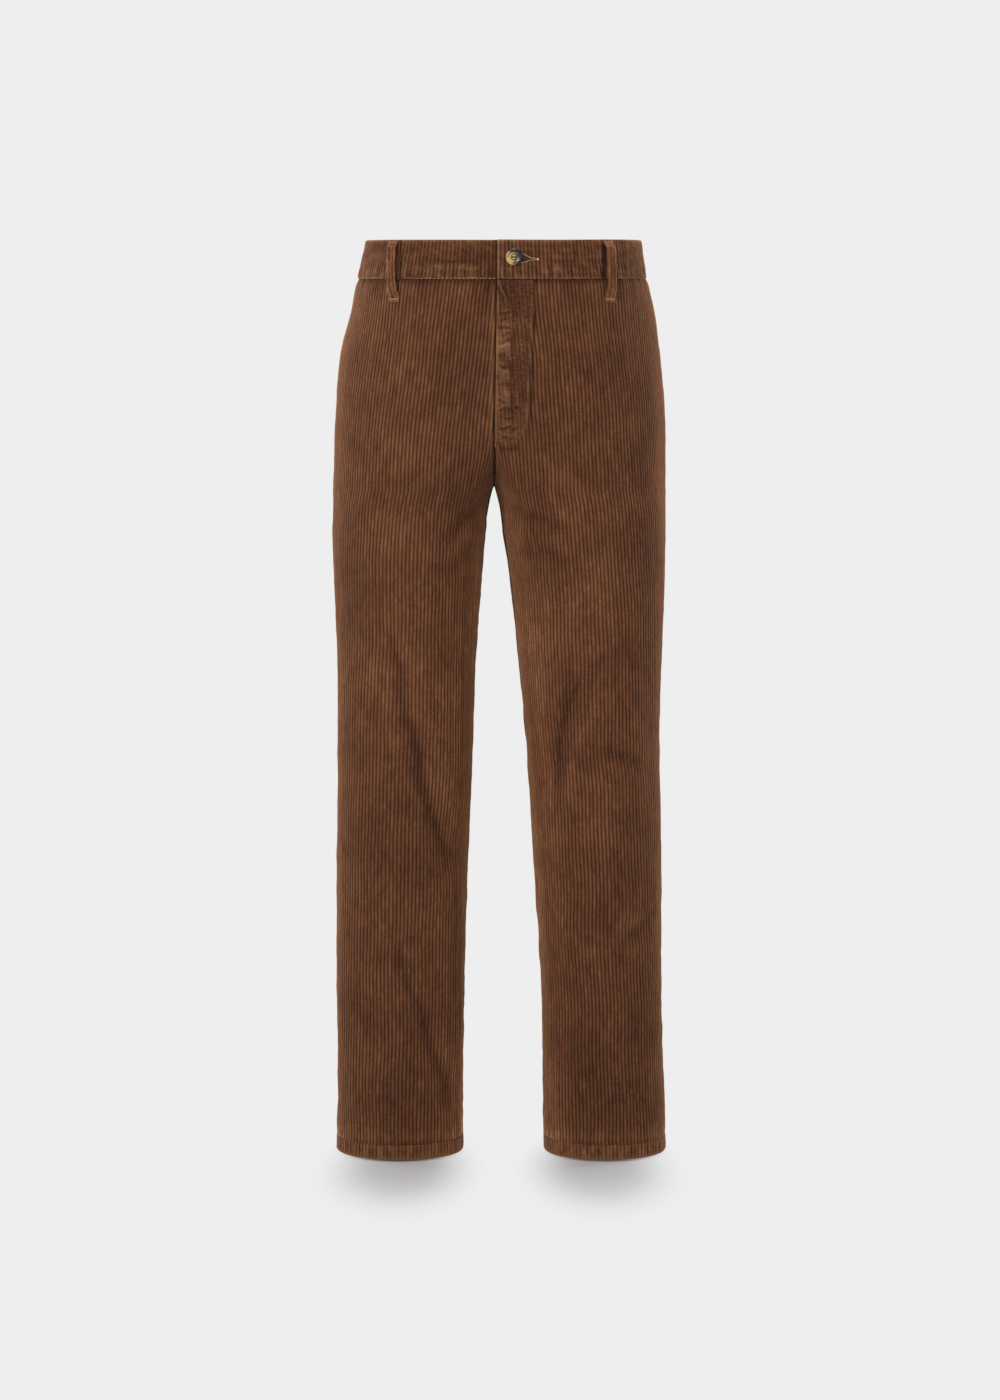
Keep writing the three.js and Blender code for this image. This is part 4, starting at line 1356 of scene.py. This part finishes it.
def buttonhole():
    """Two sewn lips, pulled apart by the button, and a dark sheet of painted shade between them."""
    bm = bmesh.new()
    for lip in (UPPER_LIP, LOWER_LIP):
        spots = [band_spot(x, z) for x, z in lip]
        satin(bm, *split(spots), **LIP)
    sewn("buttonhole_lips", bm, CREAM_THREAD, ["waistband_left"])
    columns, rows = GAP["columns"], GAP["rows"]
    points, grain = empty_grid(rows, columns)
    for j, share in enumerate(np.linspace(0, 1, columns)):
        x = GAP["start"] + share * GAP["length"]
        upper = float(np.interp(x, [p[0] for p in UPPER_LIP], [p[1] for p in UPPER_LIP]))
        lower = float(np.interp(x, [p[0] for p in LOWER_LIP], [p[1] for p in LOWER_LIP]))
        for i, depth in enumerate(np.linspace(0, 1, rows)):
            z = upper + (lower - upper) * depth
            root, normal = spot_at_x("front", z, x)
            points[i, j] = root + normal * (BAND["proud"] + 0.5)
    # A dark sheet of painted shade between the lips
    piece = finished("buttonhole_painted_shade", cloth_grid(points, grain), [PAINTED_SHADE_CLOTH])
    thicken(piece, 0.6)
    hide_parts("waistband_left")


for side in ("right", "left"):
    for face in ("front", "back"):
        panel(side, face)
    waistband(side)
    hem(side)
    waist_stitches(side)
    hem_stitches(side)
fly()
fly_stitches()
for place in LOOPS:
    belt_loop(place)
tacks()
button()
button_threads()
buttonhole()


# The studio: a pale floor that fades into a plain pale background, and soft light

PAPER = (0.855, 0.855, 0.855, 1.0)
GREY = (0.5, 0.5, 0.5, 1.0)
FLOOR_Z = (HEM_EDGE - 2.0) * MM
FLOOR_SIZE = 8.0
ROOM_LIGHT = 0.62
CAMERA_AWAY = 3.9
CAMERA_PITCH = 82.537
CAMERA_LENS = 86.466
CAMERA_SENSOR = 36.0
KNEES = (0, 0, -0.5)
HEMS = (0, 0.1, -1.0)

# Shadows lie on the floor only in an oval round each hem, so that the background stays plain.
FLOOR_SHADE = {"x": 0.118, "y": -0.1, "width": 0.115, "depth": 0.25}


def floor():
    bm = bmesh.new()
    bmesh.ops.create_grid(bm, x_segments=2, y_segments=2, size=FLOOR_SIZE)
    bmesh.ops.translate(bm, verts=bm.verts, vec=(0, 0, FLOOR_Z))
    mesh = mesh_of("floor", bm)
    material, nodes, shader = new_material("floor")
    nodes.fill(shader, {"Base Color": GREY, "Roughness": 0.9, "Specular IOR Level": 0.1})
    glow = nodes.add("ShaderNodeEmission", PAPER, 1.0)
    parts = nodes.parts(nodes.place())
    across = nodes.minus(nodes.calc("ABSOLUTE", parts[0]), FLOOR_SHADE["x"])
    across = nodes.calc("DIVIDE", across, FLOOR_SHADE["width"])
    along = nodes.calc("DIVIDE", nodes.minus(parts[1], FLOOR_SHADE["y"]), FLOOR_SHADE["depth"])
    squares = nodes.calc("ADD", nodes.times(across, across), nodes.times(along, along))
    share = nodes.add("ShaderNodeMapRange")
    share.interpolation_type = "SMOOTHERSTEP"
    nodes.fill(share, {"From Min": 0.1, "From Max": 1.0, "Value": nodes.calc("SQRT", squares)})
    mix = nodes.add("ShaderNodeMixShader", share.outputs[0], shader.outputs[0], glow.outputs[0])
    nodes.give(nodes.surface, mix.outputs[0])
    mesh.materials.append(material)
    made = linked("floor", mesh)


def lamp(name, place, target, size, power):
    data = bpy.data.lights.new(name, "AREA")
    data.shape = "DISK"
    data.size = size
    data.energy = power
    made = linked(name, data)
    made.location = place
    made.rotation_euler = (Vector(target) - Vector(place)).to_track_quat("-Z", "Y").to_euler()


def background():
    world = bpy.data.worlds.new("studio")
    nodes = Nodes(world, "ShaderNodeOutputWorld")
    seen = nodes.add("ShaderNodeBackground", PAPER, 1.0)
    light = nodes.add("ShaderNodeBackground", (1.0, 1.0, 1.0, 1.0), ROOM_LIGHT)
    path = nodes.add("ShaderNodeLightPath")
    seen_here = path.outputs["Is Camera Ray"]
    mix = nodes.add("ShaderNodeMixShader", seen_here, light.outputs[0], seen.outputs[0])
    nodes.give(nodes.surface, mix.outputs[0])
    bpy.context.scene.world = world


def camera():
    data = bpy.data.cameras.new("camera")
    data.sensor_width = CAMERA_SENSOR
    data.lens = CAMERA_LENS
    made = linked("camera", data)
    made.location = (0, -CAMERA_AWAY, 0)
    made.rotation_euler = (math.radians(CAMERA_PITCH), 0, 0)
    bpy.context.scene.camera = made


floor()
background()
lamp("key", (-1.8, -2.8, 1.4), KNEES, 1.5, 84)
lamp("fill", (2.4, -2.6, 0.2), KNEES, 2.0, 16)
lamp("left_edge", (-2.2, 0.9, -0.2), KNEES, 1.2, 22)
lamp("right_edge", (2.2, 0.9, -0.2), KNEES, 1.2, 30)
lamp("top", (0.0, 0.5, 1.9), HEMS, 1.2, 45)
camera()
bpy.context.scene.view_settings.view_transform = "Standard"
